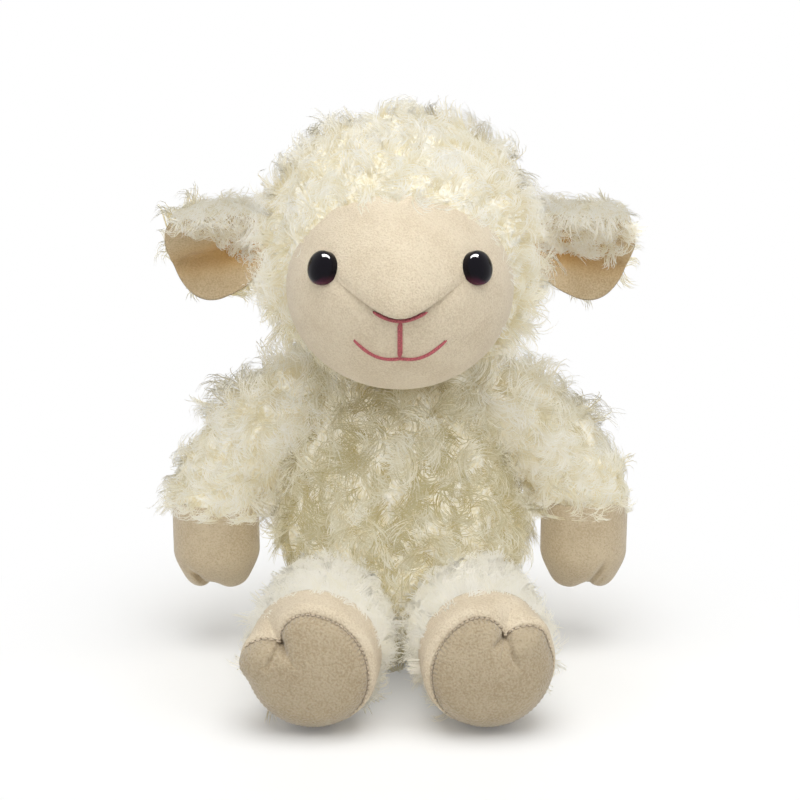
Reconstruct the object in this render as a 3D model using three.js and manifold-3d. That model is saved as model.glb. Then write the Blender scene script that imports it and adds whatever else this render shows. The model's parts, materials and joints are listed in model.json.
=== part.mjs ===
// A plush lamb that sits on the floor: wool-pile covers around stuffed cores, a short-pile face,
// ear linings, hooves and soles, embroidered nose and mouth, and plastic eyes locked on by washers.
// Millimetres, +Z up. The lamb faces -Y, and left and right are its own.
import * as THREE from "three";
import { mergeVertices } from "three/addons/utils/BufferGeometryUtils.js";
import Module from "manifold-3d";

const wasm = await Module();
wasm.setup();

// Cloth
const BODY_PILE = 8; // wool pile and its backing on the torso and the head
const LIMB_PILE = 5; // the same on arms, legs, ears and tail
const PANEL = 2; // short-pile cloth of the face, ear linings, hooves and soles
const GAP = 0.3; // clearance between two pieces that are sewn or pressed together

// Torso: half-outlines in depth, at their heights above the floor
const TORSO_WIDTH = 116;
const TORSO_DEPTH = 102;
const SEAT_DEPTH = 84;
const BELLY_HEIGHT = 46;
const CHEST_DEPTH = 86;
const CHEST_HEIGHT = 104;
const NECK_DEPTH = 56;
const NECK_HEIGHT = 134;
const PELLET_BAG_WIDTH = 58;
const PELLET_BAG_DEPTH = 44;
const PELLET_BAG_HEIGHT = 20;
const PELLET_BAG_BACK = 14; // the bag lies behind the torso's axis

// Head
const HEAD_WIDTH = 132;
const HEAD_DEPTH = 120;
const HEAD_HEIGHT = 132;
const NECK_SINK = 7; // how much of the head's ball is flattened where it is sewn to the neck

// Face: a dome that bulges out of the wool
const FACE_WIDTH = 102;
const FACE_HEIGHT = 92;
const FACE_BULGE = 47; // from the dome's centre to its front
const FACE_FORWARD = 30; // the dome's centre in front of the head's
const FACE_DROP = 12; // and below it
const NOSE_DROP = 17; // nose seam below the head's centre
const NOSE_PROUD = 4; // the upper panel overhangs the lower one here
const NOSE_WIDTH = 36;
const STITCH = 1.8; // thickness of the embroidered lines
const NOSE_STITCH_WIDTH = 26;
const LIP_HEIGHT = 17; // from the nose seam down to the mouth
const MOUTH_WIDTH = 38;
const MOUTH_CURL = 5; // how far the corners of the mouth rise

// Eyes: black domes on ribbed stems, each held by a lock washer behind the face
const EYE_DIAMETER = 15;
const EYE_DOME = 6.5;
const EYE_SPACING = 66;
const EYE_RISE = 2; // above the head's centre
const STEM_DIAMETER = 4.6;
const STEM_LENGTH = 14;
const STEM_RIBS = 4;
const RIB_PROUD = 0.35;
const WASHER_DIAMETER = 17;
const WASHER_THICKNESS = 1.6;
const WASHER_TEETH = 6;

// Ears: leaves cupped about their own length
const EAR_LENGTH = 45;
const EAR_WIDTH = 60;
const EAR_ROOT_SHARE = 0.7; // how wide the pinched root is beside the leaf
const EAR_FOLD_ROOT = 13; // radius of the cup at the root
const EAR_FOLD_TIP = 36; // and at the tip
const EAR_RISE = 12; // root above the head's centre
const EAR_DROOP = 16; // degrees below level
const EAR_ROLL = 28; // degrees by which the cup opens downwards
const EAR_FLOP = [-10, 40]; // degrees, down and up

// Arms
const SHOULDER_HEIGHT = 117;
const SHOULDER_OUT = 4; // the shoulder's pivot outside the torso's side
const ARM_ROOT_WIDTH = 42;
const ARM_CUFF_WIDTH = 47;
const ARM_FLATTEN = 0.86; // depth over width at the cuff
const ARM_SPREAD = 89; // from the middle of the toy to the middle of a cuff
const CUFF_HEIGHT = 68;
const HOOF_WIDTH = 43;
const HOOF_DEPTH = 36;
const HOOF_LENGTH = 40;
const HOOF_CLEFT = 8;
const HOOF_CLEFT_WIDTH = 9;

// Legs
const LEG_WIDTH = 58; // at the rounded hip
const THIGH_WIDTH = 61;
const ANKLE_WIDTH = 57;
const LEG_LENGTH = 50; // from the hip to the foot's band
const LEG_GAP = 6; // between the hips
const LEG_SPLAY = 6; // degrees outwards
const LEG_SWING = [-45, 20]; // degrees, down and up from rest
const FLOOR_FLAT = 0.5; // how far the thighs are flattened by the floor
const FOOT_DIAMETER = 58;
const FOOT_BAND = 14;
const SOLE_DOME = 4;
const FOOT_CLEFT = 7;
const FOOT_CLEFT_ANGLE = 30; // degrees from the top of the sole, outwards
const FOOT_CLEFT_SPAN = 18; // degrees

// Tail
const TAIL_HEIGHT = 50;
const TAIL_LENGTH = 32;
const TAIL_WIDTH = 24;
const TAIL_ROOT = 14;
const TAIL_SLOPE = 60; // degrees below level

// Facets
const SIDES = 24; // around the torso and the head
const LIMB_SIDES = 16; // around limbs and ears
const CORE_SIDES = 12; // around the stuffing and the inside of its covers

const WOOL = new THREE.MeshStandardMaterial({ color: 0xefe9d6, roughness: 0.95, metalness: 0 });
const MINKY = new THREE.MeshStandardMaterial({ color: 0xd6c4a6, roughness: 0.85, metalness: 0 });
const FIBRE = new THREE.MeshStandardMaterial({ color: 0xf7f6f2, roughness: 1, metalness: 0 });
const BAG = new THREE.MeshStandardMaterial({ color: 0xe4e2dc, roughness: 0.9, metalness: 0 });
const THREAD = new THREE.MeshStandardMaterial({ color: 0xcf6a72, roughness: 0.6, metalness: 0 });
const BLACK_PLASTIC = new THREE.MeshStandardMaterial({ color: 0x0b0a0d, roughness: 0.08, metalness: 0 });
const WHITE_PLASTIC = new THREE.MeshStandardMaterial({ color: 0xe9e9e4, roughness: 0.5, metalness: 0 });

const radians = THREE.MathUtils.degToRad;
const lerp = THREE.MathUtils.lerp;
const FAR = 4 * (HEAD_HEIGHT + NECK_HEIGHT); // larger than the toy, for cutting planes

// Solids

/** A closed geometry as a solid that can be joined and cut, facing outwards whichever way it was drawn. */
function solidOf(geometry) {
  const bare = new THREE.BufferGeometry().setAttribute("position", geometry.getAttribute("position").clone());
  if (geometry.index) bare.setIndex(geometry.index.clone());
  const merged = mergeVertices(bare, 1e-4);
  const corners = merged.index.array;
  const faces = [];
  for (let i = 0; i < corners.length; i += 3) {
    const [a, b, c] = corners.slice(i, i + 3);
    if (a !== b && b !== c && c !== a) faces.push(a, b, c);
  }
  const build = (triVerts) => new wasm.Manifold(
    new wasm.Mesh({ numProp: 3, vertProperties: merged.attributes.position.array, triVerts }),
  );
  const solid = build(new Uint32Array(faces));
  return solid.volume() < 0 ? build(new Uint32Array(faces.reverse())) : solid;
}

/** A solid back as a geometry, with its origin moved to a pivot. */
function geometryOf(solid, pivot = new THREE.Vector3()) {
  const mesh = solid.getMesh();
  const geometry = new THREE.BufferGeometry();
  geometry.setAttribute("position", new THREE.BufferAttribute(new Float32Array(mesh.vertProperties), 3));
  geometry.setIndex(new THREE.BufferAttribute(mesh.triVerts, 1));
  geometry.translate(-pivot.x, -pivot.y, -pivot.z);
  geometry.computeVertexNormals();
  return geometry;
}

function turned(solid, matrix) {
  return solid.transform(matrix.toArray());
}

/** Turns about an axis through a pivot. */
function turnAbout(pivot, axis, degrees) {
  const there = new THREE.Matrix4().makeTranslation(pivot.x, pivot.y, pivot.z);
  const turn = new THREE.Matrix4().makeRotationAxis(axis, radians(degrees));
  const back = new THREE.Matrix4().makeTranslation(-pivot.x, -pivot.y, -pivot.z);
  return there.multiply(turn).multiply(back);
}

/** The largest of the bodies that a cut leaves. */
function largest(solid) {
  return solid.decompose().reduce((best, next) => (next.volume() > best.volume() ? next : best));
}

function join(solids) {
  return solids.reduce((whole, next) => whole.add(next));
}

/** Everything below a height. */
function below(height) {
  return solidOf(new THREE.BoxGeometry(FAR, FAR, FAR).translate(0, 0, height - FAR / 2));
}

/** A closed skin over rings of points, each end closed at the middle of its ring. */
function skin(rings) {
  const sides = rings[0].length;
  const middle = (ring) => ring.reduce((sum, p) => sum.add(p), new THREE.Vector3()).divideScalar(sides);
  const points = [middle(rings[0]), ...rings.flat(), middle(rings.at(-1))];
  const faces = [];
  const at = (ring, side) => 1 + ring * sides + (side % sides);
  for (let side = 0; side < sides; side++) {
    faces.push(0, at(0, side + 1), at(0, side));
    for (let ring = 0; ring + 1 < rings.length; ring++) {
      faces.push(at(ring, side), at(ring, side + 1), at(ring + 1, side + 1));
      faces.push(at(ring, side), at(ring + 1, side + 1), at(ring + 1, side));
    }
    faces.push(points.length - 1, at(rings.length - 1, side), at(rings.length - 1, side + 1));
  }
  return solidOf(new THREE.BufferGeometry().setFromPoints(points).setIndex(faces));
}

/** A ball about a pivot. */
function ball(radius, centre) {
  const round = new THREE.SphereGeometry(radius, SIDES, SIDES / 2).rotateZ(Math.PI / 2);
  return solidOf(round.translate(centre.x, centre.y, centre.z));
}

/** A ball-shaped room for a round limb end: its flats clear the end by the usual gap however it is turned. */
function socket(radius, centre) {
  return ball((radius + GAP) / Math.cos(Math.PI / SIDES) ** 2, centre);
}

/** Angles of the rings that round off a limb's end, from near its tip to its widest. */
const CAP = [15, 35, 55, 75].map(radians);

/** Points of one ring, by their angle around it. */
function ring(sides, point) {
  return Array.from({ length: sides }, (_, i) => point((2 * Math.PI * i) / sides));
}

/** Evenly spaced numbers from 0 to 1, both ends included. */
function steps(count) {
  return Array.from({ length: count + 1 }, (_, i) => i / count);
}

/** A piece in its own named mesh, in a group whose origin is the pivot. */
function piece(group, name, solid, material) {
  const mesh = new THREE.Mesh(geometryOf(solid, group.position), material);
  mesh.name = name;
  group.add(mesh);
}

// Torso

const torsoSide = new THREE.SplineCurve([
  new THREE.Vector2(SEAT_DEPTH / 2, 0),
  new THREE.Vector2(TORSO_DEPTH / 2, BELLY_HEIGHT),
  new THREE.Vector2(CHEST_DEPTH / 2, CHEST_HEIGHT),
  new THREE.Vector2(NECK_DEPTH / 2, NECK_HEIGHT),
]).getPoints(10);
const WIDEN = TORSO_WIDTH / TORSO_DEPTH;

/** Half the torso's depth at a height, along its side outline. */
function torsoHalfDepth(height) {
  const upper = torsoSide.findIndex((p, i) => i > 0 && p.y >= height);
  const [a, b] = upper < 0 ? torsoSide.slice(-2) : torsoSide.slice(upper - 1, upper + 1);
  return lerp(a.x, b.x, THREE.MathUtils.clamp((height - a.y) / (b.y - a.y), 0, 1));
}

/** The torso's outline revolved and widened, drawn in by an inset. It ends flat at its top. */
function torsoForm(inset, top, sides = SIDES) {
  const side = torsoSide.filter((p) => p.y > inset && p.y < top - 1);
  const profile = [
    new THREE.Vector2(0, inset),
    new THREE.Vector2(torsoHalfDepth(inset) - inset, inset),
    ...side.map((p) => new THREE.Vector2(p.x - inset, p.y)),
    new THREE.Vector2(torsoHalfDepth(top) - inset, top),
    new THREE.Vector2(0, top),
  ];
  return solidOf(new THREE.LatheGeometry(profile, sides).rotateX(Math.PI / 2).scale(WIDEN, 1, 1));
}

// Legs: built along -Y from the hip, then turned outwards

const HIP = new THREE.Vector3(
  (LEG_WIDTH + LEG_GAP) / 2,
  -TORSO_DEPTH / 2 + BODY_PILE,
  THIGH_WIDTH / 2 - FLOOR_FLAT,
);
const SHOULDER = new THREE.Vector3(WIDEN * torsoHalfDepth(SHOULDER_HEIGHT) + SHOULDER_OUT, 0, SHOULDER_HEIGHT);
const FOOT_START = LEG_LENGTH + GAP;
const FOOT_END = FOOT_START + FOOT_BAND;

/** Half-width of a leg at a distance from the hip: a round end, a fuller thigh and a drawn-in ankle. */
function legRadius(distance) {
  if (distance <= 0) return Math.sqrt(Math.max(0, (LEG_WIDTH / 2) ** 2 - distance ** 2));
  const along = distance / LEG_LENGTH;
  const fullness = (THIGH_WIDTH - LEG_WIDTH) / 2;
  return lerp(LEG_WIDTH, ANKLE_WIDTH, along ** 2) / 2 + fullness * Math.sin(Math.PI * Math.min(1, along * 1.2)) ** 2;
}

function legRing(distance, radius, sides = LIMB_SIDES) {
  return ring(sides, (a) => new THREE.Vector3(radius * Math.sin(a), -distance, radius * Math.cos(a)));
}

/** Rings of a leg's shaft from the hip to an end, drawn in by an inset. */
function legShaft(inset, end, sides) {
  return steps(4).map((t) => legRing(t * end, legRadius(t * end) - inset, sides));
}

/** Rings of the round end inside the hip's socket. */
function legCap(inset, sides) {
  const radius = LEG_WIDTH / 2 - inset;
  return CAP.map((a) => legRing(-radius * Math.cos(a), radius * Math.sin(a), sides));
}

/** The wool-covered part of a leg, drawn in by an inset, up to an end past the hip. */
function legForm(inset, end, sides) {
  return skin([...legCap(inset, sides), ...legShaft(inset, end, sides)]);
}

/** Radius of the foot at an angle from its top: round, with the cleft of the hoof pinched in towards the sole. */
function footRadius(angle, distance, side) {
  const off = (side * angle - radians(FOOT_CLEFT_ANGLE)) / radians(FOOT_CLEFT_SPAN);
  const wrapped = Math.min(Math.abs(off), Math.abs(off + (2 * Math.PI) / radians(FOOT_CLEFT_SPAN)));
  const pinch = THREE.MathUtils.clamp((distance - FOOT_START) / FOOT_BAND, 0, 1) ** 1.5;
  return FOOT_DIAMETER / 2 - FOOT_CLEFT * pinch * Math.exp(-(wrapped ** 2));
}

function footRing(distance, inset, side, share = 1, sides = SIDES) {
  return ring(sides, (a) => {
    const radius = share * (footRadius(a > Math.PI ? a - 2 * Math.PI : a, distance, side) - inset);
    return new THREE.Vector3(radius * Math.sin(a), -distance - SOLE_DOME * (1 - share ** 2), radius * Math.cos(a));
  });
}

/** The foot's wall between two distances from the hip. */
function footForm(inset, start, end, side, sides) {
  return skin(steps(2).map((t) => footRing(lerp(start, end, t), inset, side, 1, sides)));
}

/** The sole: a crowned disc of the foot's outline, from a distance forwards. */
function soleForm(start, side) {
  const crown = [1, 0.7, 0.3];
  const back = crown.map((share) => footRing(start, 0, side, share)).reverse();
  const front = crown.map((share) => footRing(start + PANEL, 0, side, share));
  return skin([...back, ...front]);
}

/** The stuffing of a leg and its foot, as one form. */
function legCore(side) {
  const inset = PANEL + 3 * GAP; // coarser than the band around it, so drawn in a little more
  const foot = steps(2).map((t) => footRing(lerp(FOOT_START + GAP, FOOT_END, t), inset, side, 1, CORE_SIDES));
  const crown = [0.7, 0.3].map((share) => footRing(FOOT_END, inset, side, share, CORE_SIDES));
  const wool = LIMB_PILE + GAP;
  return skin([...legCap(wool, CORE_SIDES), ...legShaft(wool, LEG_LENGTH, CORE_SIDES), ...foot, ...crown]);
}

/** Places a leg's solid: turned outwards at its hip, and lifted about it. */
function legPlaced(solid, side, lift = 0) {
  const hip = new THREE.Vector3(side * HIP.x, HIP.y, HIP.z);
  const place = new THREE.Matrix4().makeRotationZ(side * radians(LEG_SPLAY)).setPosition(hip);
  return turned(solid, turnAbout(hip, new THREE.Vector3(1, 0, 0), -lift).multiply(place));
}

function buildLeg(side, name) {
  const group = new THREE.Group();
  group.position.set(side * HIP.x, HIP.y, HIP.z);
  const floor = below(0);
  const wool = legForm(0, LEG_LENGTH).subtract(legForm(LIMB_PILE, LEG_LENGTH + 1, CORE_SIDES));
  const band = footForm(0, FOOT_START, FOOT_END, side)
    .subtract(footForm(PANEL, FOOT_START - 1, FOOT_END + 1, side));
  piece(group, `leg_wool_${name}`, legPlaced(wool, side).subtract(floor), WOOL);
  piece(group, `foot_band_${name}`, legPlaced(band, side).subtract(floor), MINKY);
  piece(group, `foot_sole_${name}`, legPlaced(soleForm(FOOT_END + GAP, side), side).subtract(floor), MINKY);
  piece(group, `leg_stuffing_${name}`, legPlaced(legCore(side), side), FIBRE);
  return group;
}

/** The room that arms and legs need in the torso, the legs at rest and at both ends of their swing. */
function limbRoom() {
  const shaft = skin(legShaft(-GAP, LEG_LENGTH));
  return join([-1, 1].flatMap((side) => [
    ...[0, ...LEG_SWING].map((lift) => legPlaced(shaft, side, lift)),
    socket(LEG_WIDTH / 2, new THREE.Vector3(side * HIP.x, HIP.y, HIP.z)),
    socket(ARM_ROOT_WIDTH / 2, new THREE.Vector3(side * SHOULDER.x, SHOULDER.y, SHOULDER.z)),
  ]));
}

function buildTorso() {
  const group = new THREE.Group();
  const room = limbRoom();
  const floorInside = BODY_PILE + GAP;
  const bag = (grow) => solidOf(
    new THREE.SphereGeometry(1, 16, 8).rotateX(Math.PI / 2)
      .scale(PELLET_BAG_WIDTH / 2 + grow, PELLET_BAG_DEPTH / 2 + grow, PELLET_BAG_HEIGHT + grow)
      .translate(0, PELLET_BAG_BACK, floorInside),
  );
  const cover = torsoForm(0, NECK_HEIGHT).subtract(torsoForm(BODY_PILE, NECK_HEIGHT + 1, CORE_SIDES));
  const inside = torsoForm(floorInside, NECK_HEIGHT, CORE_SIDES);
  const core = inside.subtract(bag(GAP));
  const pellets = bag(0).subtract(below(floorInside)).intersect(inside);
  piece(group, "torso_cover", largest(cover.subtract(room)), WOOL);
  piece(group, "torso_stuffing", largest(core.subtract(room)), FIBRE);
  piece(group, "seat_pellet_bag", largest(pellets.subtract(room)), BAG);
  return group;
}

// Head

const NECK_SEAM = NECK_HEIGHT + GAP;
const HEAD = new THREE.Vector3(0, 0, NECK_SEAM + HEAD_HEIGHT / 2 - NECK_SINK);

/** The head's ball, drawn in by an inset. */
function headForm(inset, around = SIDES, up = 14) {
  const round = new THREE.SphereGeometry(1, around, up).rotateX(Math.PI / 2);
  round.scale(HEAD_WIDTH / 2 - inset, HEAD_DEPTH / 2 - inset, HEAD_HEIGHT / 2 - inset);
  return solidOf(round.translate(HEAD.x, HEAD.y, HEAD.z));
}

const FACE = new THREE.Vector3(0, HEAD.y - FACE_FORWARD, HEAD.z - FACE_DROP);
const NOSE_HEIGHT = HEAD.z - NOSE_DROP;

/** The face's dome, drawn in by an inset, with or without the nose that stands proud above the seam. */
function faceForm(inset, nose, around = 22, up = 14) {
  const dome = new THREE.SphereGeometry(1, around, up);
  dome.scale(FACE_WIDTH / 2 - inset, FACE_BULGE - inset, FACE_HEIGHT / 2 - inset);
  dome.translate(FACE.x, FACE.y, FACE.z);
  const spots = dome.getAttribute("position");
  for (let i = 0; nose && i < spots.count; i++) {
    const across = spots.getX(i) / (NOSE_WIDTH / 2);
    const above = (spots.getZ(i) - NOSE_HEIGHT) / NOSE_WIDTH;
    const front = spots.getY(i) < FACE.y ? 1 : 0;
    spots.setY(i, spots.getY(i) - front * NOSE_PROUD * Math.exp(-(across ** 2) - above ** 2));
  }
  return solidOf(dome);
}

/** The point of the lower face, grown by an amount, in front of a place in X and Z. */
function onFace(x, z, grow) {
  const across = (x - FACE.x) / (FACE_WIDTH / 2 + grow);
  const high = (z - FACE.z) / (FACE_HEIGHT / 2 + grow);
  const deep = Math.sqrt(Math.max(0, 1 - across ** 2 - high ** 2));
  return new THREE.Vector3(x, FACE.y - (FACE_BULGE + grow) * deep, z);
}

/** Height of the seam between the two face panels: from the nose, up towards both eyes. */
function seamHeight(x) {
  const rise = HEAD.z + EYE_RISE - NOSE_HEIGHT;
  const share = Math.abs(x) / (EYE_SPACING / 2);
  return NOSE_HEIGHT + rise * (Math.hypot(share, 0.3) - 0.3) * 1.15;
}

/** Everything above the seam, moved down by an amount. */
function aboveSeam(lower) {
  const outline = new THREE.Shape();
  const reach = FACE_WIDTH;
  outline.moveTo(-reach, FAR);
  steps(16).forEach((t) => outline.lineTo(lerp(-reach, reach, t), seamHeight(lerp(-reach, reach, t)) - lower));
  outline.lineTo(reach, FAR);
  const block = new THREE.ExtrudeGeometry(outline, { depth: FAR, bevelEnabled: false });
  return solidOf(block.rotateX(Math.PI / 2).translate(0, FACE.y, 0));
}

/** A round thread along a curve, as long as its points. */
function thread(points) {
  const round = new THREE.Shape().absarc(0, 0, STITCH / 2, 0, 2 * Math.PI);
  const path = new THREE.CatmullRomCurve3(points);
  const along = { steps: Math.ceil(1.5 * points.length), extrudePath: path, bevelEnabled: false, curveSegments: 3 };
  return solidOf(new THREE.ExtrudeGeometry(round, along));
}

const THREAD_LIFT = STITCH / 2 + GAP;

/** The nose line, under the edge of the upper panel. */
function noseStitch() {
  const under = STITCH / 2 + 2 * GAP;
  return thread(steps(6).map((t) => {
    const x = lerp(-NOSE_STITCH_WIDTH / 2, NOSE_STITCH_WIDTH / 2, t);
    return onFace(x, seamHeight(x) - under, THREAD_LIFT);
  }));
}

/** The upright line below the nose, and the smile that it stands on. */
function mouthStitch() {
  const top = NOSE_HEIGHT - 2 * STITCH - 3 * GAP;
  const bottom = NOSE_HEIGHT - LIP_HEIGHT;
  const upright = steps(4).map((t) => onFace(0, lerp(top, bottom, t), THREAD_LIFT));
  const smile = steps(8).map((t) => {
    const share = 2 * t - 1;
    return onFace((share * MOUTH_WIDTH) / 2, bottom + MOUTH_CURL * Math.abs(share) ** 2.5, THREAD_LIFT);
  });
  return thread(upright).add(thread(smile));
}

/** Where an eye sits on the face, and the way it looks. */
function eyePlace(side) {
  const spot = onFace((side * EYE_SPACING) / 2, HEAD.z + EYE_RISE, 0);
  const look = spot.clone().sub(FACE).divide(
    new THREE.Vector3((FACE_WIDTH / 2) ** 2, FACE_BULGE ** 2, (FACE_HEIGHT / 2) ** 2),
  ).normalize();
  const turn = new THREE.Quaternion().setFromUnitVectors(new THREE.Vector3(0, 1, 0), look);
  return (lift) => new THREE.Matrix4().compose(spot.clone().addScaledVector(look, lift), turn, new THREE.Vector3(1, 1, 1));
}

/** An eye: a dome with a small rolled edge, on a stem with ribs for the washer to catch. */
function eyeForm() {
  const radius = EYE_DIAMETER / 2;
  const stem = STEM_DIAMETER / 2;
  const pitch = STEM_LENGTH / (STEM_RIBS + 2);
  const ribs = steps(STEM_RIBS - 1).flatMap((t) => {
    const start = -STEM_LENGTH + pitch * (1 + t * (STEM_RIBS - 1));
    return [new THREE.Vector2(stem, start), new THREE.Vector2(stem + RIB_PROUD, start + pitch * 0.45), new THREE.Vector2(stem, start + pitch * 0.6)];
  });
  const dome = steps(5).map((t) => {
    const angle = (t * Math.PI) / 2;
    return new THREE.Vector2(radius * Math.cos(angle), 1 + (EYE_DOME - 1) * Math.sin(angle));
  });
  return solidOf(new THREE.LatheGeometry([
    new THREE.Vector2(0, -STEM_LENGTH),
    new THREE.Vector2(stem * 0.7, -STEM_LENGTH),
    ...ribs,
    new THREE.Vector2(stem, 0),
    new THREE.Vector2(radius - 0.6, 0),
    ...dome.slice(0, -1),
    new THREE.Vector2(0, EYE_DOME),
  ], 12));
}

const STEM_CLEAR = STEM_DIAMETER / 2 + RIB_PROUD + GAP;
// A flat washer inside the curved panel stands off by the curve's rise over the washer's radius.
const WASHER_DEPTH = PANEL + GAP + WASHER_DIAMETER ** 2 / 4 / (FACE_HEIGHT - 4 * PANEL) + WASHER_THICKNESS;

/** A lock washer: a ring with slots between the teeth that grip the stem. */
function washerForm() {
  const bore = STEM_CLEAR;
  const rim = WASHER_DIAMETER / 2;
  const slot = new THREE.BoxGeometry(0.9, FAR, rim * 0.55).translate(0, 0, rim * 0.275);
  const disc = solidOf(new THREE.LatheGeometry([
    new THREE.Vector2(bore, 0),
    new THREE.Vector2(rim, 0),
    new THREE.Vector2(rim, WASHER_THICKNESS * 0.7),
    new THREE.Vector2(bore + 1, WASHER_THICKNESS),
    new THREE.Vector2(bore, WASHER_THICKNESS),
    new THREE.Vector2(bore, 0),
  ], 18));
  const slots = steps(WASHER_TEETH).slice(1).map((t) => solidOf(slot.clone().rotateY(2 * Math.PI * t)));
  return disc.subtract(join(slots));
}

/** A round bar about an eye's axis, for holes and pockets. */
function eyeBar(place, radius, from, to) {
  const bar = new THREE.CylinderGeometry(radius, radius, to - from, 18).translate(0, (from + to) / 2, 0);
  return turned(solidOf(bar), place(0));
}

function buildHead() {
  const group = new THREE.Group();
  group.position.set(0, 0, NECK_SEAM);
  const places = { left: eyePlace(1), right: eyePlace(-1) };
  const underNeck = below(NECK_SEAM);
  const neck = new THREE.CylinderGeometry(1, 1, HEAD_HEIGHT / 2, SIDES).rotateX(Math.PI / 2);
  const bore = NECK_DEPTH / 2 - BODY_PILE;
  const neckHole = solidOf(neck.scale(bore, bore, 1).translate(0, 0, NECK_SEAM));
  const stems = join(Object.values(places).map((place) => eyeBar(place, STEM_CLEAR, -STEM_LENGTH - GAP, 2 * PANEL)));
  const washers = join(Object.values(places).map((place) =>
    eyeBar(place, WASHER_DIAMETER / 2 + GAP, -WASHER_DEPTH - GAP, 2 * PANEL)));

  const ballSkin = headForm(BODY_PILE, CORE_SIDES, 10);
  const cover = headForm(0).subtract(ballSkin).subtract(neckHole)
    .subtract(faceForm(-GAP, true)).subtract(underNeck);
  const upper = faceForm(0, true).subtract(faceForm(PANEL, true)).intersect(aboveSeam(0));
  const lower = faceForm(0, false).subtract(faceForm(PANEL, false)).subtract(aboveSeam(GAP));
  const core = headForm(BODY_PILE + GAP, CORE_SIDES, 10).add(faceForm(PANEL + GAP, false));
  piece(group, "head_cover", cover, WOOL);
  piece(group, "face_upper", upper.subtract(ballSkin).subtract(stems), MINKY);
  piece(group, "face_lower", lower.subtract(ballSkin).subtract(stems).subtract(underNeck), MINKY);
  piece(group, "head_stuffing", core.subtract(stems).subtract(washers).subtract(underNeck), FIBRE);
  piece(group, "nose_stitch", noseStitch(), THREAD);
  piece(group, "mouth_stitch", mouthStitch(), THREAD);
  Object.entries(places).forEach(([name, place]) => {
    piece(group, `eye_${name}`, turned(eyeForm(), place(GAP)), BLACK_PLASTIC);
    piece(group, `eye_washer_${name}`, turned(washerForm(), place(-WASHER_DEPTH)), WHITE_PLASTIC);
  });
  return group;
}

// Ears

const EAR_ROOT = new THREE.Vector3(
  (HEAD_WIDTH / 2) * Math.sqrt(1 - (EAR_RISE / (HEAD_HEIGHT / 2)) ** 2) + GAP,
  HEAD.y,
  HEAD.z + EAR_RISE,
);

/** A cupped leaf from its seam face to its free face: the flat outline is bent about the ear's length. */
function earSlab(seam, free) {
  const leaf = (share, angle, depth) => {
    const along = (EAR_LENGTH / 2) * (1 + share * Math.cos(angle));
    const narrow = lerp(EAR_ROOT_SHARE, 1, Math.min(1, (1.6 * along) / EAR_LENGTH));
    const across = (EAR_WIDTH / 2) * share * Math.sin(angle) * narrow;
    const fold = lerp(EAR_FOLD_ROOT, EAR_FOLD_TIP, along / EAR_LENGTH);
    const bend = across / fold;
    const radius = fold + depth;
    return new THREE.Vector3(along, radius * Math.cos(bend) - fold, radius * Math.sin(bend));
  };
  const shares = [0.2, 0.6, 1];
  const face = (depth) => shares.map((share) => ring(LIMB_SIDES, (a) => leaf(share, a, depth)));
  return skin([...face(seam), ...face(free).reverse()]);
}

/** The head's ball as the ear meets it over its whole range, about the ear's root. */
function headSweep(side) {
  const root = new THREE.Vector3(side * EAR_ROOT.x, EAR_ROOT.y, EAR_ROOT.z);
  const skull = headForm(-GAP);
  const [low, high] = EAR_FLOP;
  const angles = steps(5).map((t) => side * lerp(low, high, t));
  return join(angles.map((angle) => turned(skull, turnAbout(root, new THREE.Vector3(0, 1, 0), angle))));
}

function buildEar(side, name) {
  const group = new THREE.Group();
  group.position.set(side * EAR_ROOT.x, EAR_ROOT.y, EAR_ROOT.z);
  const place = new THREE.Matrix4().setPosition(group.position)
    .multiply(new THREE.Matrix4().makeScale(side, 1, 1))
    .multiply(new THREE.Matrix4().makeRotationY(radians(EAR_DROOP)))
    .multiply(new THREE.Matrix4().makeRotationX(radians(EAR_ROLL)));
  const sweep = headSweep(side);
  piece(group, `ear_wool_${name}`, turned(earSlab(GAP / 2, LIMB_PILE), place).subtract(sweep), WOOL);
  piece(group, `ear_lining_${name}`, turned(earSlab(-GAP / 2, -PANEL), place).subtract(sweep), MINKY);
  return group;
}

// Arms

/** The torso's side outline turned about the shoulder's axis: the sleeve stays outside it as the arm swings. */
function torsoSweep(side) {
  const flats = Math.cos(Math.PI / SIDES); // a turned form is this much nearer its axis between its edges
  const profile = [
    new THREE.Vector2(0, -GAP),
    new THREE.Vector2(SHOULDER_HEIGHT / flats, -GAP),
    ...torsoSide.filter((p) => p.y < SHOULDER_HEIGHT)
      .map((p) => new THREE.Vector2((SHOULDER_HEIGHT - p.y) / flats, WIDEN * p.x + 3 * GAP)),
    new THREE.Vector2(0, SHOULDER.x - SHOULDER_OUT + 3 * GAP),
  ];
  const turn = new THREE.LatheGeometry(profile, SIDES).rotateZ(-Math.PI / 2);
  return solidOf(turn.rotateZ(side > 0 ? 0 : Math.PI).translate(0, 0, SHOULDER_HEIGHT));
}

/** The head's widest outline turned about the neck, which the shoulders stay clear of as it turns. */
function headSpin() {
  const widest = Math.max(HEAD_WIDTH, HEAD_DEPTH) / 2 + GAP;
  const round = new THREE.SphereGeometry(1, SIDES, SIDES / 2).rotateX(Math.PI / 2);
  return solidOf(round.scale(widest, widest, HEAD_HEIGHT / 2 + GAP).translate(HEAD.x, HEAD.y, HEAD.z));
}

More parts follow.
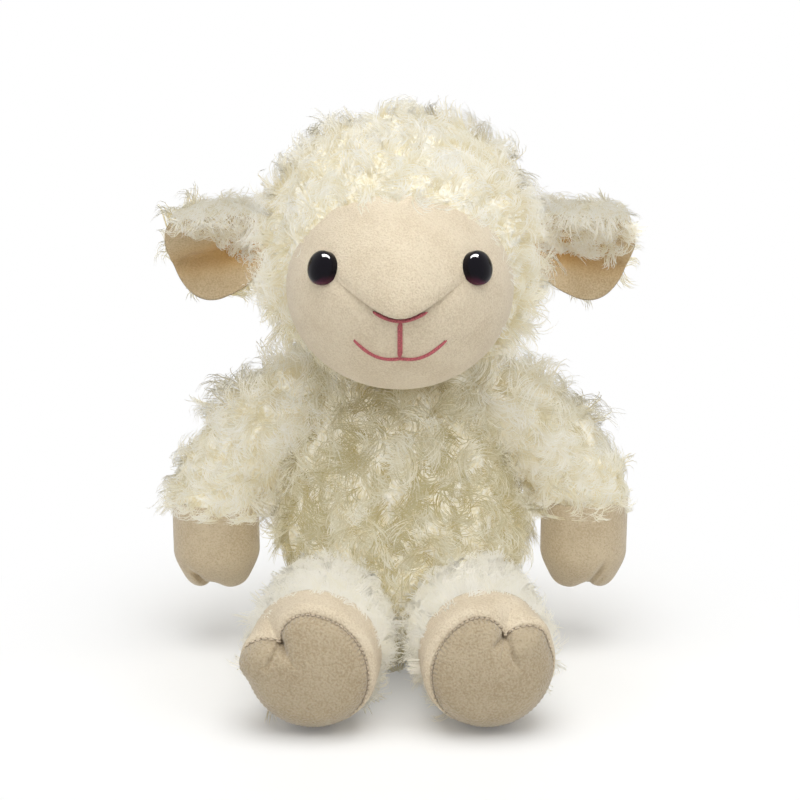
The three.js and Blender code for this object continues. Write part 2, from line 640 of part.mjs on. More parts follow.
/** Rings of an arm, drawn in by an inset: a round end in the shoulder, then out and down to the cuff. */
function armRings(side, inset, overrun, sides = LIMB_SIDES) {
  const reach = ARM_SPREAD - SHOULDER.x;
  const drop = SHOULDER_HEIGHT - CUFF_HEIGHT;
  const path = new THREE.CubicBezierCurve3(
    SHOULDER,
    new THREE.Vector3(SHOULDER.x + 0.3 * reach, 0, SHOULDER_HEIGHT - 0.16 * drop),
    new THREE.Vector3(ARM_SPREAD, 0, SHOULDER_HEIGHT - 0.5 * drop),
    new THREE.Vector3(ARM_SPREAD, 0, CUFF_HEIGHT),
  );
  const armRing = (t, back, share) => {
    const way = path.getTangent(t);
    const centre = path.getPoint(t).addScaledVector(way, back);
    const half = share * (lerp(ARM_ROOT_WIDTH, ARM_CUFF_WIDTH, t) / 2 - inset);
    return ring(sides, (a) => new THREE.Vector3(
      side * centre.x - way.z * half * Math.cos(a),
      -lerp(1, ARM_FLATTEN, t) * half * Math.sin(a),
      centre.z + side * way.x * half * Math.cos(a),
    ));
  };
  const radius = ARM_ROOT_WIDTH / 2 - inset;
  const end = CAP.map((a) => armRing(0, -radius * Math.cos(a), Math.sin(a)));
  return [...end, ...steps(5).map((t) => armRing(t, t === 1 ? overrun : 0, 1))];
}

/** A hoof below the cuff, drawn in by an inset: a rounded mitten with a cleft between two toes. */
function hoofRings(side, inset, top, sides = LIMB_SIDES) {
  const length = HOOF_LENGTH - inset;
  const rows = [0, 0.3, 0.55, 0.75, 0.89, 0.97];
  const lid = CUFF_HEIGHT - GAP;
  const hoofRing = (share, height) => ring(sides, (a) => {
    const x = (HOOF_WIDTH / 2 - inset) * share * Math.cos(a);
    const y = -(HOOF_DEPTH / 2 - inset) * share * Math.sin(a);
    const low = THREE.MathUtils.clamp((lid - height) / HOOF_LENGTH, 0, 1);
    const cleft = HOOF_CLEFT * low ** 3 * Math.exp(-((x / (HOOF_CLEFT_WIDTH / 2)) ** 2));
    return new THREE.Vector3(side * ARM_SPREAD + x, y, height + cleft);
  });
  const rings = rows.map((t) => hoofRing((1 - t ** 3.2) ** 0.5, lid - length * t));
  return top > 0 ? [hoofRing(1, lid + top), ...rings] : rings;
}

function buildArm(side, name) {
  const group = new THREE.Group();
  group.position.set(side * SHOULDER.x, SHOULDER.y, SHOULDER.z);
  const body = torsoSweep(side).subtract(ball(ARM_ROOT_WIDTH / 2 + GAP / 2, group.position)).add(headSpin());
  const wool = skin(armRings(side, 0, 0)).subtract(skin(armRings(side, LIMB_PILE, 1, CORE_SIDES))).subtract(body);
  const hoof = skin(hoofRings(side, 0, 0)).subtract(skin(hoofRings(side, PANEL, 1, CORE_SIDES)));
  const sleeve = armRings(side, LIMB_PILE + GAP, 0, CORE_SIDES);
  const core = skin([...sleeve, ...hoofRings(side, PANEL + GAP, 0, CORE_SIDES)]).subtract(body);
  piece(group, `arm_wool_${name}`, wool, WOOL);
  piece(group, `arm_hoof_${name}`, hoof, MINKY);
  piece(group, `arm_stuffing_${name}`, core, FIBRE);
  return group;
}

// Tail

/** The tail: a round root against the torso's back, then a flattened drop that hangs down and back. */
function buildTail() {
  const group = new THREE.Group();
  const root = TAIL_ROOT / 2;
  group.position.set(0, torsoHalfDepth(TAIL_HEIGHT) + root + GAP, TAIL_HEIGHT);
  const reach = TAIL_LENGTH - root;
  const tailRing = (along, wide, thick) =>
    ring(12, (a) => new THREE.Vector3(wide * Math.cos(a), along, thick * Math.sin(a)));
  const end = CAP.map((a) => tailRing(-root * Math.cos(a), root * Math.sin(a), root * Math.sin(a)));
  const drop = steps(6).slice(0, -1).map((t) => {
    const full = lerp(TAIL_ROOT, TAIL_WIDTH, THREE.MathUtils.smoothstep(t, 0, 0.6)) / 2;
    const wide = full * Math.sqrt(1 - t ** 4);
    return tailRing(t * reach, wide, wide * lerp(1, 0.75, t));
  });
  const tip = tailRing(reach, 1, 1);
  const down = new THREE.Matrix4().makeRotationX(-radians(TAIL_SLOPE)).setPosition(group.position);
  piece(group, "tail", turned(skin([...end, ...drop, tip]), down), WOOL);
  return group;
}

// The whole toy, centred over its footprint on the floor

const toy = new THREE.Group();
toy.add(buildTorso(), buildHead(), buildTail());
[[1, "left"], [-1, "right"]].forEach(([side, name]) => {
  toy.add(buildEar(side, name), buildArm(side, name), buildLeg(side, name));
});
const footprint = new THREE.Box3().setFromObject(toy, true).getCenter(new THREE.Vector3());
toy.position.set(-footprint.x, -footprint.y, 0);

const lamb = new THREE.Group();
lamb.name = "plush_lamb";
lamb.add(toy);

export default lamb;
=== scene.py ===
"""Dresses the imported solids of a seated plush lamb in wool, plush panels, stitching and eyes."""

import json
import math
from typing import NamedTuple

import bpy
import numpy as np
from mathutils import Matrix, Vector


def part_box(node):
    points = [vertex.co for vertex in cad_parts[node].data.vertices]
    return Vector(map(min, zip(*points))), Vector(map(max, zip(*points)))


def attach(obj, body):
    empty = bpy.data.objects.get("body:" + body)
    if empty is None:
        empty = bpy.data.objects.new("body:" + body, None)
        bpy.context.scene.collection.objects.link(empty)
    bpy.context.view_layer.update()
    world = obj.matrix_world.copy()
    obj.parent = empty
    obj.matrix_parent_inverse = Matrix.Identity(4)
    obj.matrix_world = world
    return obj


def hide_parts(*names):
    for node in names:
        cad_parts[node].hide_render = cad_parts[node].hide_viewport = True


bl_info = {
    "name": "Plush Lamb",
    "version": (1, 0, 0),
    "blender": (4, 5, 0),
    "location": "3D View > Sidebar > Plush Lamb",
    "description": "Dresses the packed solids of a seated plush lamb in wool, plush panels and stitching",
    "category": "Object",
}

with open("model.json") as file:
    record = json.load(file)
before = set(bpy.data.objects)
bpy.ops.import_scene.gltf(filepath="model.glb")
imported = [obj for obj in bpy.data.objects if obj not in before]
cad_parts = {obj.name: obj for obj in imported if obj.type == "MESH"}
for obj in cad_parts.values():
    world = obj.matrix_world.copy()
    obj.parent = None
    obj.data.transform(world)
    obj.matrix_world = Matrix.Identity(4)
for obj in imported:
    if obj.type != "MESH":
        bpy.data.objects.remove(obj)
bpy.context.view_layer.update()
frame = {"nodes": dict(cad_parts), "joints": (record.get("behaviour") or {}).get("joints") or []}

# Places that the frame gives
PIVOT = {joint["name"]: np.array(joint["pos_m"]) for joint in frame["joints"]}
AXIS = PIVOT["neck_turn"] * (1, 1, 0)  # the torso's upright axis, on the floor
HEAD_HIGH = np.array(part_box("head_cover")[1])
HEAD_RADII = np.array([HEAD_HIGH[0], HEAD_HIGH[1] - AXIS[1], HEAD_HIGH[0]])
HEAD_CENTRE = np.array([0, AXIS[1], HEAD_HIGH[2] - HEAD_RADII[2]])

SIDES = {"left": 1, "right": -1}  # the lamb's own sides
SIDE_NAMES = {side: name for name, side in SIDES.items()}
BAKE_UV = "OFBake"
# attribute that places painted light: shade in an ear's fold, a reflection on an eye's rim
PAINTED_LIGHT_ATTR = "shade"


def length(name, description, default):
    """A length in metres that a user may change."""
    return bpy.props.FloatProperty(
        name=name, description=description, default=default, min=0, precision=4, unit="LENGTH"
    )


def angle(name, description, degrees):
    """An angle that a user may change."""
    return bpy.props.FloatProperty(
        name=name, description=description, default=math.radians(degrees), subtype="ANGLE"
    )


def colour(name, description, default):
    """A colour, in linear light, that a user may change."""
    return bpy.props.FloatVectorProperty(
        name=name, description=description, default=default, size=3, min=0, max=1, subtype="COLOR"
    )


class LambSizes(bpy.types.PropertyGroup):
    """Sizes of the lamb's covers, face and stitching."""

    body_pile: length("Body wool height", "How far wool on torso and head stands over its backing", 0.005)
    limb_pile: length("Arm wool height", "The same on the arms", 0.004)
    leg_pile: length("Leg wool height", "The same on the legs, where it is clipped short", 0.003)
    strand: length("Strand thickness", "Thickness of one strand of wool", 0.00049)
    face_width: length("Face width", "Width of the face's dome", 0.102)
    face_height: length("Face height", "Height of the face's dome", 0.092)
    face_bulge: length("Face bulge", "From the middle of the dome to its front", 0.047)
    face_forward: length("Face forward", "Middle of the dome in front of the head's", 0.030)
    face_drop: length("Face drop", "Middle of the dome below the head's", 0.012)
    nose_proud: length("Nose overhang", "How far the upper face stands over the lower at the nose", 0.006)
    stitch: length("Stitch width", "Width of the embroidered lines", 0.0019)
    mouth_width: length("Mouth width", "Between the corners of the mouth", 0.039)
    eye_diameter: length("Eye diameter", "Diameter of each eye", 0.015)
    eye_dome: length("Eye height", "How far an eye stands out", 0.0056)
    eye_spacing: length("Eye spacing", "Between the middles of the eyes", 0.066)
    ear_length: length("Ear length", "From root to tip", 0.045)
    ear_width: length("Ear width", "Across the flat leaf", 0.060)
    hoof_cleft: length("Hoof cleft", "Depth of the notch between a hoof's toes", 0.0035)
    foot_diameter: length("Foot diameter", "Across a sole", 0.058)
    sole_crown: length("Sole crown", "How far a sole swells out", 0.006)
    foot_cleft: length("Foot cleft", "How far the sole's edge is drawn in at its cleft", 0.0085)
    cleft_left: angle("Left cleft", "From the top of the left sole, outwards", 20)
    cleft_right: angle("Right cleft", "From the top of the right sole, outwards", 44)


class LambColours(bpy.types.PropertyGroup):
    """Colours of the lamb's materials."""

    wool_tip: colour("Wool tips", "Ends of the wool", (0.97, 0.965, 0.93))
    # Painted shade: the wool's darker, yellower root colour stands for the shade deep in its crevices
    wool_root: colour("Wool roots", "Wool near its backing", (0.80, 0.70, 0.43))
    leg_tip: colour("Leg wool tips", "Ends of the clipped wool", (0.98, 0.95, 0.85))
    plush: colour("Plush", "Short pile of face, ears, hooves and soles", (0.77, 0.67, 0.51))
    plush_shade: colour("Plush shade", "The same pile brushed the other way", (0.62, 0.51, 0.36))
    # Painted shade and light through the cloth, laid into the lining along an ear's fold
    ear_deep: colour("Ear fold", "Lining in an ear's fold, where light comes through", (0.56, 0.30, 0.06))
    seam: colour("Seam", "Sewing thread in the seams of the soles", (0.62, 0.52, 0.39))
    thread: colour("Thread", "Embroidery on nose and mouth", (0.52, 0.14, 0.155))
    eye: colour("Eye", "Plastic of the eyes", (0.004, 0.003, 0.006))
    floor: colour("Floor", "The floor under the lamb", (0.75, 0.75, 0.74))


def sizes():
    """The sizes as they are set now."""
    return bpy.context.scene.lamb_sizes


# Arrays


def unit(vectors):
    """Vectors scaled to length one."""
    return vectors / np.maximum(np.linalg.norm(vectors, axis=-1, keepdims=True), 1e-12)


def smooth(low, high, values):
    """Smooth step: 0 below low, 1 above high, 3t^2 - 2t^3 between."""
    t = np.clip((values - low) / (high - low), 0, 1)
    return t * t * (3 - 2 * t)


def bell(off, width):
    """A bell of height one: e to the power of -(off / width)^2."""
    return np.exp(-((off / width) ** 2))


def around(count):
    """Angles evenly round a circle."""
    return np.linspace(0, 2 * np.pi, count, endpoint=False)


def heading(turn):
    """Unit vector across and up, at an angle from the top."""
    return np.array([math.sin(turn), math.cos(turn)])


def spline(points, count):
    """Catmull-Rom curve: on each span, the cubic whose end slopes are half the chord of the neighbours."""
    points = np.asarray(points, float)
    held = np.vstack([points[:1], points, points[-1:]])
    t = np.linspace(0, len(points) - 1, count)
    span = np.minimum(t.astype(int), len(points) - 2)
    s = (t - span)[:, None]
    a, b, c, d = (held[span + k] for k in range(4))
    return b + 0.5 * s * (c - a + s * (2 * a - 5 * b + 4 * c - d + s * (3 * (b - c) + d - a)))


def bezier(points, t):
    """Cubic Bezier curve at t, and its unit tangent."""
    a, b, c, d = np.asarray(points, float)
    t = np.asarray(t, float)[:, None]
    at = (1 - t) ** 3 * a + 3 * t * (1 - t) ** 2 * b + 3 * t**2 * (1 - t) * c + t**3 * d
    way = 3 * (1 - t) ** 2 * (b - a) + 6 * t * (1 - t) * (c - b) + 3 * t**2 * (d - c)
    return at, unit(way)


def turned(points, axis, by):
    """Points turned by an angle about the X, Y or Z axis, numbered from 0."""
    first, second = (axis + 1) % 3, (axis + 2) % 3
    matrix = np.eye(3)
    matrix[first, first] = matrix[second, second] = math.cos(by)
    matrix[second, first] = math.sin(by)
    matrix[first, second] = -math.sin(by)
    return points @ matrix.T


# Meshes


def grid_quads(rows, cols, wrap):
    """Corners of the cells of a grid, whose last column meets its first where it wraps."""
    r, c = np.meshgrid(np.arange(rows - 1), np.arange(cols if wrap else cols - 1), indexing="ij")
    here, after = r * cols + c, r * cols + (c + 1) % cols
    return np.stack([here, after, after + cols, here + cols], -1).reshape(-1, 4)


def fan(ring, tip):
    """Triangles from a tip to each step round a ring."""
    return np.stack([np.full(len(ring), tip), ring, np.roll(ring, -1)], -1)


def mesh_piece(name, points, quads, tris, material, uv=None):
    """A smooth-shaded mesh from whole arrays, turned outwards by the sign of the volume it encloses."""
    fans = np.vstack([quads[:, [0, 1, 2]], quads[:, [0, 2, 3]], tris])
    a, b, c = points[fans[:, 0]], points[fans[:, 1]], points[fans[:, 2]]
    if np.einsum("ij,ij->", a - points.mean(0), np.cross(b - a, c - a)) < 0:
        quads, tris = quads[:, ::-1], tris[:, ::-1]
    corners = np.concatenate([quads.ravel(), tris.ravel()]).astype(np.int32)
    starts = np.concatenate([np.arange(len(quads)) * 4, 4 * len(quads) + np.arange(len(tris)) * 3])
    mesh = bpy.data.meshes.new(name)
    mesh.vertices.add(len(points))
    mesh.vertices.foreach_set("co", points.astype(np.float32).ravel())
    mesh.loops.add(len(corners))
    mesh.loops.foreach_set("vertex_index", corners)
    mesh.polygons.add(len(starts))
    mesh.polygons.foreach_set("loop_start", starts.astype(np.int32))
    if uv is not None:
        mesh.uv_layers.new(name=BAKE_UV).data.foreach_set("uv", uv[corners].astype(np.float32).ravel())
    mesh.update(calc_edges=True)
    mesh.shade_smooth()
    if mesh.validate(verbose=False):
        raise RuntimeError(f"{name} has broken faces")
    piece = bpy.data.objects.new(name, mesh)
    bpy.context.scene.collection.objects.link(piece)
    mesh.materials.append(material)
    return piece


def closed_skin(name, grid, material):
    """A closed form over rings of points, each end closed at the middle of its ring."""
    rows, cols = grid.shape[:2]
    points = np.vstack([grid.reshape(-1, 3), grid[0].mean(0), grid[-1].mean(0)])
    ring, count = np.arange(cols), rows * cols
    ends = np.vstack([fan(ring, count)[:, ::-1], fan(count - cols + ring, count + 1)])
    return mesh_piece(name, points, grid_quads(rows, cols, True), ends, material)


def set_painted_light_mask(piece, values):
    """A number at each point of a closed form's rings; its two ends take the end rings' means. It places
    the piece's painted light: shade in an ear's fold, a reflection on an eye's rim.
    """
    values = np.concatenate([values.ravel(), values[:1].mean(1), values[-1:].mean(1)])
    piece.data.attributes.new(PAINTED_LIGHT_ATTR, "FLOAT", "POINT").data.foreach_set("value", values.astype(np.float32))


def closed_sheet(name, outer, inner, material):
    """A cloth panel with two faces: two like grids joined all round their edges."""
    rows, cols = outer.shape[:2]
    at = np.arange(rows * cols).reshape(rows, cols)
    rim = np.concatenate([at[0, :-1], at[:-1, -1], at[-1, :0:-1], at[:0:-1, 0]])
    after = np.roll(rim, -1)
    front = grid_quads(rows, cols, False)
    back = front[:, ::-1] + rows * cols
    edge = np.stack([after, rim, rim + rows * cols, after + rows * cols], -1)
    points = np.vstack([outer.reshape(-1, 3), inner.reshape(-1, 3)])
    return mesh_piece(name, points, np.vstack([front, back, edge]), np.zeros((0, 3), int), material)


def grid_normals(grid, wrap):
    """Unit normals: the cross product of the steps along rows and columns, turned away from the middle."""
    along = np.gradient(grid, axis=0)
    across = np.roll(grid, -1, 1) - np.roll(grid, 1, 1) if wrap else np.gradient(grid, axis=1)
    normal = unit(np.cross(across, along))
    outward = np.sum(normal * (grid - grid.reshape(-1, 3).mean(0)))
    return normal if outward > 0 else -normal


def scatter(grid, wrap, count, rng):
    """Even places over a grid, and their normals: a cell by its share of the area, then a spot in it."""
    normal = grid_normals(grid, wrap)
    if wrap:
        grid, normal = (np.concatenate([x, x[:, :1]], 1) for x in (grid, normal))
    diagonals = grid[1:, 1:] - grid[:-1, :-1], grid[1:, :-1] - grid[:-1, 1:]
    area = np.linalg.norm(np.cross(*diagonals), axis=-1)
    total = np.cumsum(area.ravel())
    cell = np.searchsorted(total, total[-1] * (np.arange(count) + rng.random(count)) / count)
    row, col = np.divmod(np.minimum(cell, area.size - 1), area.shape[1])
    u, v = rng.random((2, count, 1))

    def spot(field):
        upper = field[row, col] * (1 - u) + field[row, col + 1] * u
        lower = field[row + 1, col] * (1 - u) + field[row + 1, col + 1] * u
        return upper * (1 - v) + lower * v

    return spot(grid), unit(spot(normal))


# Materials


class Tree:
    """The shader nodes of a material or world, with short ways to add and join them."""

    def __init__(self, owner):
        owner.use_nodes = True
        self.nodes, self.links = owner.node_tree.nodes, owner.node_tree.links

    def feed(self, node, inputs):
        """A node's inputs, by name or number: a socket is linked and anything else is set."""
        for key, value in inputs.items():
            if isinstance(value, bpy.types.NodeSocket):
                self.links.new(value, node.inputs[key])
            else:
                node.inputs[key].default_value = value

    def add(self, kind, inputs=None, **settings):
        """A new node of a kind, with its settings and inputs."""
        node = self.nodes.new(f"ShaderNode{kind}")
        for name, value in settings.items():
            setattr(node, name, value)
        self.feed(node, inputs or {})
        return node

    def noise(self, scale):
        """Noise over the piece's own coordinates."""
        place = self.add("TexCoord")
        return self.add("TexNoise", {"Vector": place.outputs["Object"], "Scale": scale}).outputs["Fac"]

    def ramp(self, factor, *stops):
        """A colour ramp through the stops, each a place and a colour."""
        node = self.add("ValToRGB", {"Fac": factor})
        elements = node.color_ramp.elements
        elements[0].position, elements[1].position = stops[0][0], stops[-1][0]
        for place, _ in stops[1:-1]:
            elements.new(place)
        for element, (_, tone) in zip(elements, stops):
            element.color = (*tone, 1)
        return node.outputs["Color"]

    def mixed(self, factor, first, second, blend="MIX"):
        """Two colours mixed by a factor."""
        mix = self.add("Mix", {"Factor": factor}, data_type="RGBA", blend_type=blend)
        places = [place for place, socket in enumerate(mix.inputs) if socket.type == "RGBA"]
        self.feed(mix, dict(zip(places, (first, second))))
        return mix.outputs[2]

    def painted_in(self, tone, deep):
        """A colour mixed with a deep tone by the piece's own shade values: painted shade in an ear's fold,
        a painted reflection on an eye's rim.
        """
        held = self.add("Attribute", attribute_name=PAINTED_LIGHT_ATTR)
        return self.mixed(held.outputs["Fac"], tone, (*deep, 1))

    def finish(self, factor, first, second):
        """The surface: two shaders mixed by a factor."""
        mix = self.add("MixShader", {0: factor, 1: first, 2: second})
        output = self.nodes.get("Material Output") or self.nodes["World Output"]
        self.feed(output, {"Surface": mix.outputs["Shader"]})


def new_material(name):
    """A new material, its nodes and its shader."""
    material = bpy.data.materials.new(name)
    tree = Tree(material)
    return material, tree, tree.nodes["Principled BSDF"]


def wool_material(name, tip, root, through):
    """Wool, by its strands' own map: across it from strand to strand, up it from root to tip.

    A share of the light goes through the strands.
    """
    material, tree, shader = new_material(name)
    # the tone ramp from olive to white: its low end is painted shade between clumps and on shaded parts,
    # mixed with tone that differs at random
    dark, middle, white = (0.64, 0.585, 0.38), (0.94, 0.925, 0.85), (1, 1, 1)
    spread = tree.add("UVMap", uv_map=BAKE_UV)
    parts = tree.add("SeparateXYZ", {0: spread.outputs["UV"]})
    # painted shade: darker and yellower towards the root, for the shade deep in the wool
    root_shade_ramp = tree.ramp(parts.outputs["Y"], (0, root), (0.35, 0.45 * root + 0.55 * tip), (1, tip))
    by_strand = tree.ramp(parts.outputs["X"], (0, dark), (0.45, middle), (1, white))
    tone = tree.mixed(1, root_shade_ramp, by_strand, "MULTIPLY")
    tree.feed(shader, {"Base Color": tone, "Roughness": 0.8, "Specular IOR Level": 0})
    thin = tree.add("BsdfTranslucent", {"Color": tone})
    tree.finish(through, shader.outputs["BSDF"], thin.outputs["BSDF"])
    return material


def plush_material(name, light, dark, sheen=0.25, grain=1.0, deep=None):
    """Short plush: a fine pebbly nap, broad patches brushed either way, and a soft sheen.

    Where a deep tone is given, the piece's own shade values mix it in as painted shade.
    """
    material, tree, shader = new_material(name)
    nap, patch = tree.noise(1300 * grain), tree.noise(70)
    both = tree.add("Mix", {"Factor": 0.3, "A": nap, "B": patch}).outputs["Result"]
    tone = tree.ramp(both, (0.38, dark), (0.5, 0.4 * dark + 0.6 * light), (0.6, light))
    bump = tree.add("Bump", {"Strength": 0.8, "Distance": 0.0008 / grain, "Height": nap})
    tree.feed(shader, {
        "Base Color": tone if deep is None else tree.painted_in(tone, deep),
        "Normal": bump.outputs["Normal"],
        "Roughness": 0.9,
        "Specular IOR Level": 0,
        "Sheen Weight": sheen,
        "Sheen Roughness": 0.45,
    })
    return material


def thread_material(name, tone):
    """Embroidery thread: fine twisted fibres with a silky gloss."""
    material, tree, shader = new_material(name)
    fibre = tree.ramp(tree.noise(1800), (0.3, 0.6 * tone), (0.7, np.minimum(1, 1.3 * tone)))
    gloss = {"Roughness": 0.5, "Specular IOR Level": 0.05, "Sheen Weight": 0.2}
    tree.feed(shader, {"Base Color": fibre, **gloss})
    return material


def plastic_material(name, tone, polish, painted_reflection=None):
    """Moulded plastic, its roughness spread faintly about its polish.

    Where a reflection colour is given, the piece's own shade values mix it in as a painted reflection.
    """
    material, tree, shader = new_material(name)
    limits = {"To Min": 0.6 * polish, "To Max": 1.4 * polish}
    haze = tree.add("MapRange", {"Value": tree.noise(400), **limits})
    base = (*tone, 1)
    tree.feed(shader, {
        "Base Color": base if painted_reflection is None else tree.painted_in(base, painted_reflection),
        "Roughness": haze.outputs["Result"],
        "Specular IOR Level": 0.12,
    })
    return material


def materials():
    """The lamb's materials by name, made once."""
    tones = bpy.context.scene.lamb_colours
    tone = {field: np.array(getattr(tones, field)) for field in LambColours.__annotations__}
    tip, root, light, dark = (tone[field] for field in ("wool_tip", "wool_root", "plush", "plush_shade"))
    ear_painted_tint = np.array([0.80, 0.73, 0.61])  # painted light and shade: the ears' lining drawn darker and warmer than the plush, as shade and light through the cloth make it
    painted_shade_tint = np.array([1, 0.955, 0.87])  # painted shade: hooves and soles are drawn darker and browner than the same plush elsewhere
    # painted shade: hooves at 0.82 and soles at 0.67 of the plush, for the less light that falls on them
    hoof, sole = 0.82 * painted_shade_tint, 0.67 * painted_shade_tint
    makers = {
        "wool": (wool_material, tip, root, 0.35),
        "ear_wool": (wool_material, tip, root, 0.55),
        "leg_wool": (wool_material, tone["leg_tip"], 0.2 * root + 0.8 * tip, 0.3),
        # painted shade: the backings take the wool's darker root tones, so that they read as shade where
        # they show between locks
        "backing": (plush_material, 0.4 * root + 0.6 * tip, 0.85 * root + 0.15 * tip, 0.25, 0.4),
        "leg_backing": (plush_material, 0.2 * root + 0.8 * tip, 0.4 * root + 0.6 * tip, 0.25, 0.4),
        "plush": (plush_material, light, 0.8 * dark + 0.2 * light, 0.3),
        "hoof_plush": (plush_material, hoof * light, hoof * dark, 0.5),
        "band_plush": (plush_material, light, dark),
        "sole_plush": (plush_material, sole * light, sole * dark, 0.5, 0.8),
        "ear_plush": (plush_material, ear_painted_tint * light, 0.97 * ear_painted_tint * dark, 0.25, 1.0, tone["ear_deep"]),
        "thread": (thread_material, tone["thread"]),
        "seam_thread": (thread_material, tone["seam"]),
        # the eye's third colour is a painted reddish reflection on its lower rim
        "eye": (plastic_material, tone["eye"], 0.04, (0.075, 0.012, 0.035)),
        "washer": (plastic_material, (0.82, 0.82, 0.8), 0.4),
    }
    made = {}
    for name, (maker, *values) in makers.items():
        made[name] = bpy.data.materials.get(f"lamb_{name}") or maker(f"lamb_{name}", *values)
    return made


# Wool


class Pile(NamedTuple):
    """How a wool lies, in metres: a lock's length, how far its strands spread and how high they stand."""

    length: float
    spread: float
    stand: float
    curl: float  # how far a lock turns from root to tip, in radians
    gather: float  # how far its strands come together at the tip
    radius: float  # of the form under it
    strands: int = 11
    sections: int = 5


BODY_WOOL = Pile(0.0140, 0.0030, 0.0065, 2.0, 0.75, 0.055)
HEAD_WOOL = Pile(0.0125, 0.0028, 0.0065, 1.6, 0.6, 0.062)
ARM_WOOL = Pile(0.0125, 0.0026, 0.0065, 1.8, 0.7, 0.024)
EAR_WOOL = Pile(0.0125, 0.0030, 0.0085, 1.8, 0.6, 0.030)
EAR_FRINGE = Pile(0.0130, 0.0032, 0.0070, 2.0, 0.6, 0.011)
EAR_FRONT = Pile(0.0085, 0.0026, 0.0050, 1.8, 0.5, 0.020)
LEG_WOOL = Pile(0.0070, 0.0022, 0.0062, 0.6, 0.1, 0.027, sections=4)

CLUMP = 0.004  # about the size of a clump of locks
SWIRL = 0.015  # about how far it is from one swirl of the wool to the next
FLOOR_HEM = 0.0008  # the least height of a strand's line
FLOOR_GAP = 0.0003  # the least height of its faces
LOCK_COUNT = {
    "torso": 2150,
    "head": 1950,
    "ear_back": 190,
    "ear_front": 240,
    "ear_fringe": 75,
    "arm": 570,
    "leg": 840,
    "tail": 130,
}


class Locks(NamedTuple):
    """Locks of wool, one row to each."""

    place: np.ndarray
    normal: np.ndarray
    comb: np.ndarray
    crest: np.ndarray  # from about -1 between clumps to 1 on them
    lift: np.ndarray  # how much higher than its pile says it stands
    # painted light: how far up the tone ramp a part's wool is drawn, higher where more light falls on it,
    # lower in shade
    painted_light_level: np.ndarray


def drift(place, rng):
    """A slowly changing direction at each place: a sum of waves about as long as a swirl."""
    waves, shift = rng.normal(size=(6, 3)) / SWIRL, rng.uniform(0, 2 * np.pi, 6)
    way = rng.normal(size=(6, 3))
    return np.sin(place @ waves.T + shift) @ way / 2


def clumps(points, seed):
    """Soft relief over a form, from -1 to 1: a sum of waves in all directions, levelled off by tanh."""
    rng = np.random.default_rng(seed)
    waves, shift = rng.normal(size=(12, 3)) / CLUMP, rng.uniform(0, 2 * np.pi, 12)
    return np.tanh(0.65 * np.sin(points @ waves.T + shift).sum(-1))


def lumpy(grid, height, seed):
    """A closed form's grid raised and sunk along its normals in clumps."""
    return grid + height * clumps(grid, seed)[..., None] * grid_normals(grid, True)


def ways(lead, place, swirl, rough, rng):
    """Ways that locks are combed: a lead, a share of drift and a share of chance."""
    way = np.asarray(lead, float)
    if swirl:
        way = way + swirl * drift(place, rng)
    return way + rough * rng.normal(size=place.shape)


# painted light: a part's wool sits 0.3 up the tone ramp unless another level is given
def locks(place, normal, way, crest, lift=1.0, painted_light_level=0.3):
    """Locks at places, combed along the surface, nearest to the way given."""
    comb = unit(way - np.sum(way * normal, -1, keepdims=True) * normal)
    return Locks(place, normal, comb, *(np.broadcast_to(x, len(place)) for x in (crest, lift, painted_light_level)))


def shared(grown, count):
    """Locks in parts of like number, by their angle about the torso's axis."""
    x, y, _ = (grown.place - AXIS).T
    parts = np.array_split(np.argsort(np.arctan2(x, -y)), count)
    return [Locks(*(field[part] for field in grown)) for part in parts]


def wool_lines(grown, pile, rng):
    """Centre lines of the strands of wool locks.

    A lock runs along the surface on a circular arc, its heading turning evenly from root to tip, and
    rises over it as 1 - (1 - s)^2.5 while it drops by the surface's own roundness. Its strands start
    about its root and follow it with small differences, a few of them far above it.
    """
    count = len(grown.place)

    def each(low, high):
        return rng.uniform(low, high, (count, 1, 1))

    def own(low, high):
        return rng.uniform(low, high, (count, pile.strands, 1))

    place, normal, comb = (x[:, None, None] for x in (grown.place, grown.normal, grown.comb))
    crest, lift = grown.crest[:, None, None], grown.lift[:, None, None]
    side = np.cross(normal, comb)
    s = np.linspace(0, 1, pile.sections)
    size = pile.length * np.sqrt(lift) * each(0.65, 1.2) * own(0.75, 1.25)
    bend = np.sign(each(-1, 1)) * pile.curl * each(0.4, 1.4) * own(0.7, 1.3)
    head = each(-0.5, 0.5) + own(-0.35, 0.35)
    ahead = size * (np.sin(head + bend * s) - np.sin(head)) / bend
    aside = size * (np.cos(head) - np.cos(head + bend * s)) / bend
    drawn = 1 - pile.gather * smooth(0, 1, s)
    off, about = pile.spread * np.sqrt(own(0, 1)), own(0, 2 * np.pi)
    ahead, aside = ahead + drawn * off * np.cos(about), aside + drawn * off * np.sin(about)
    stand = pile.stand * lift * (1 + 0.3 * crest) * each(0.45, 1.1) * (0.85 + 0.45 * own(0, 1) ** 3)
    rise = stand * (1 - (1 - s) ** 2.5) * (1 + each(-0.5, 0.25) * s**2)
    rise = rise - (ahead**2 + aside**2) / (2 * pile.radius)
    return place + ahead[..., None] * comb + aside[..., None] * side + rise[..., None] * normal


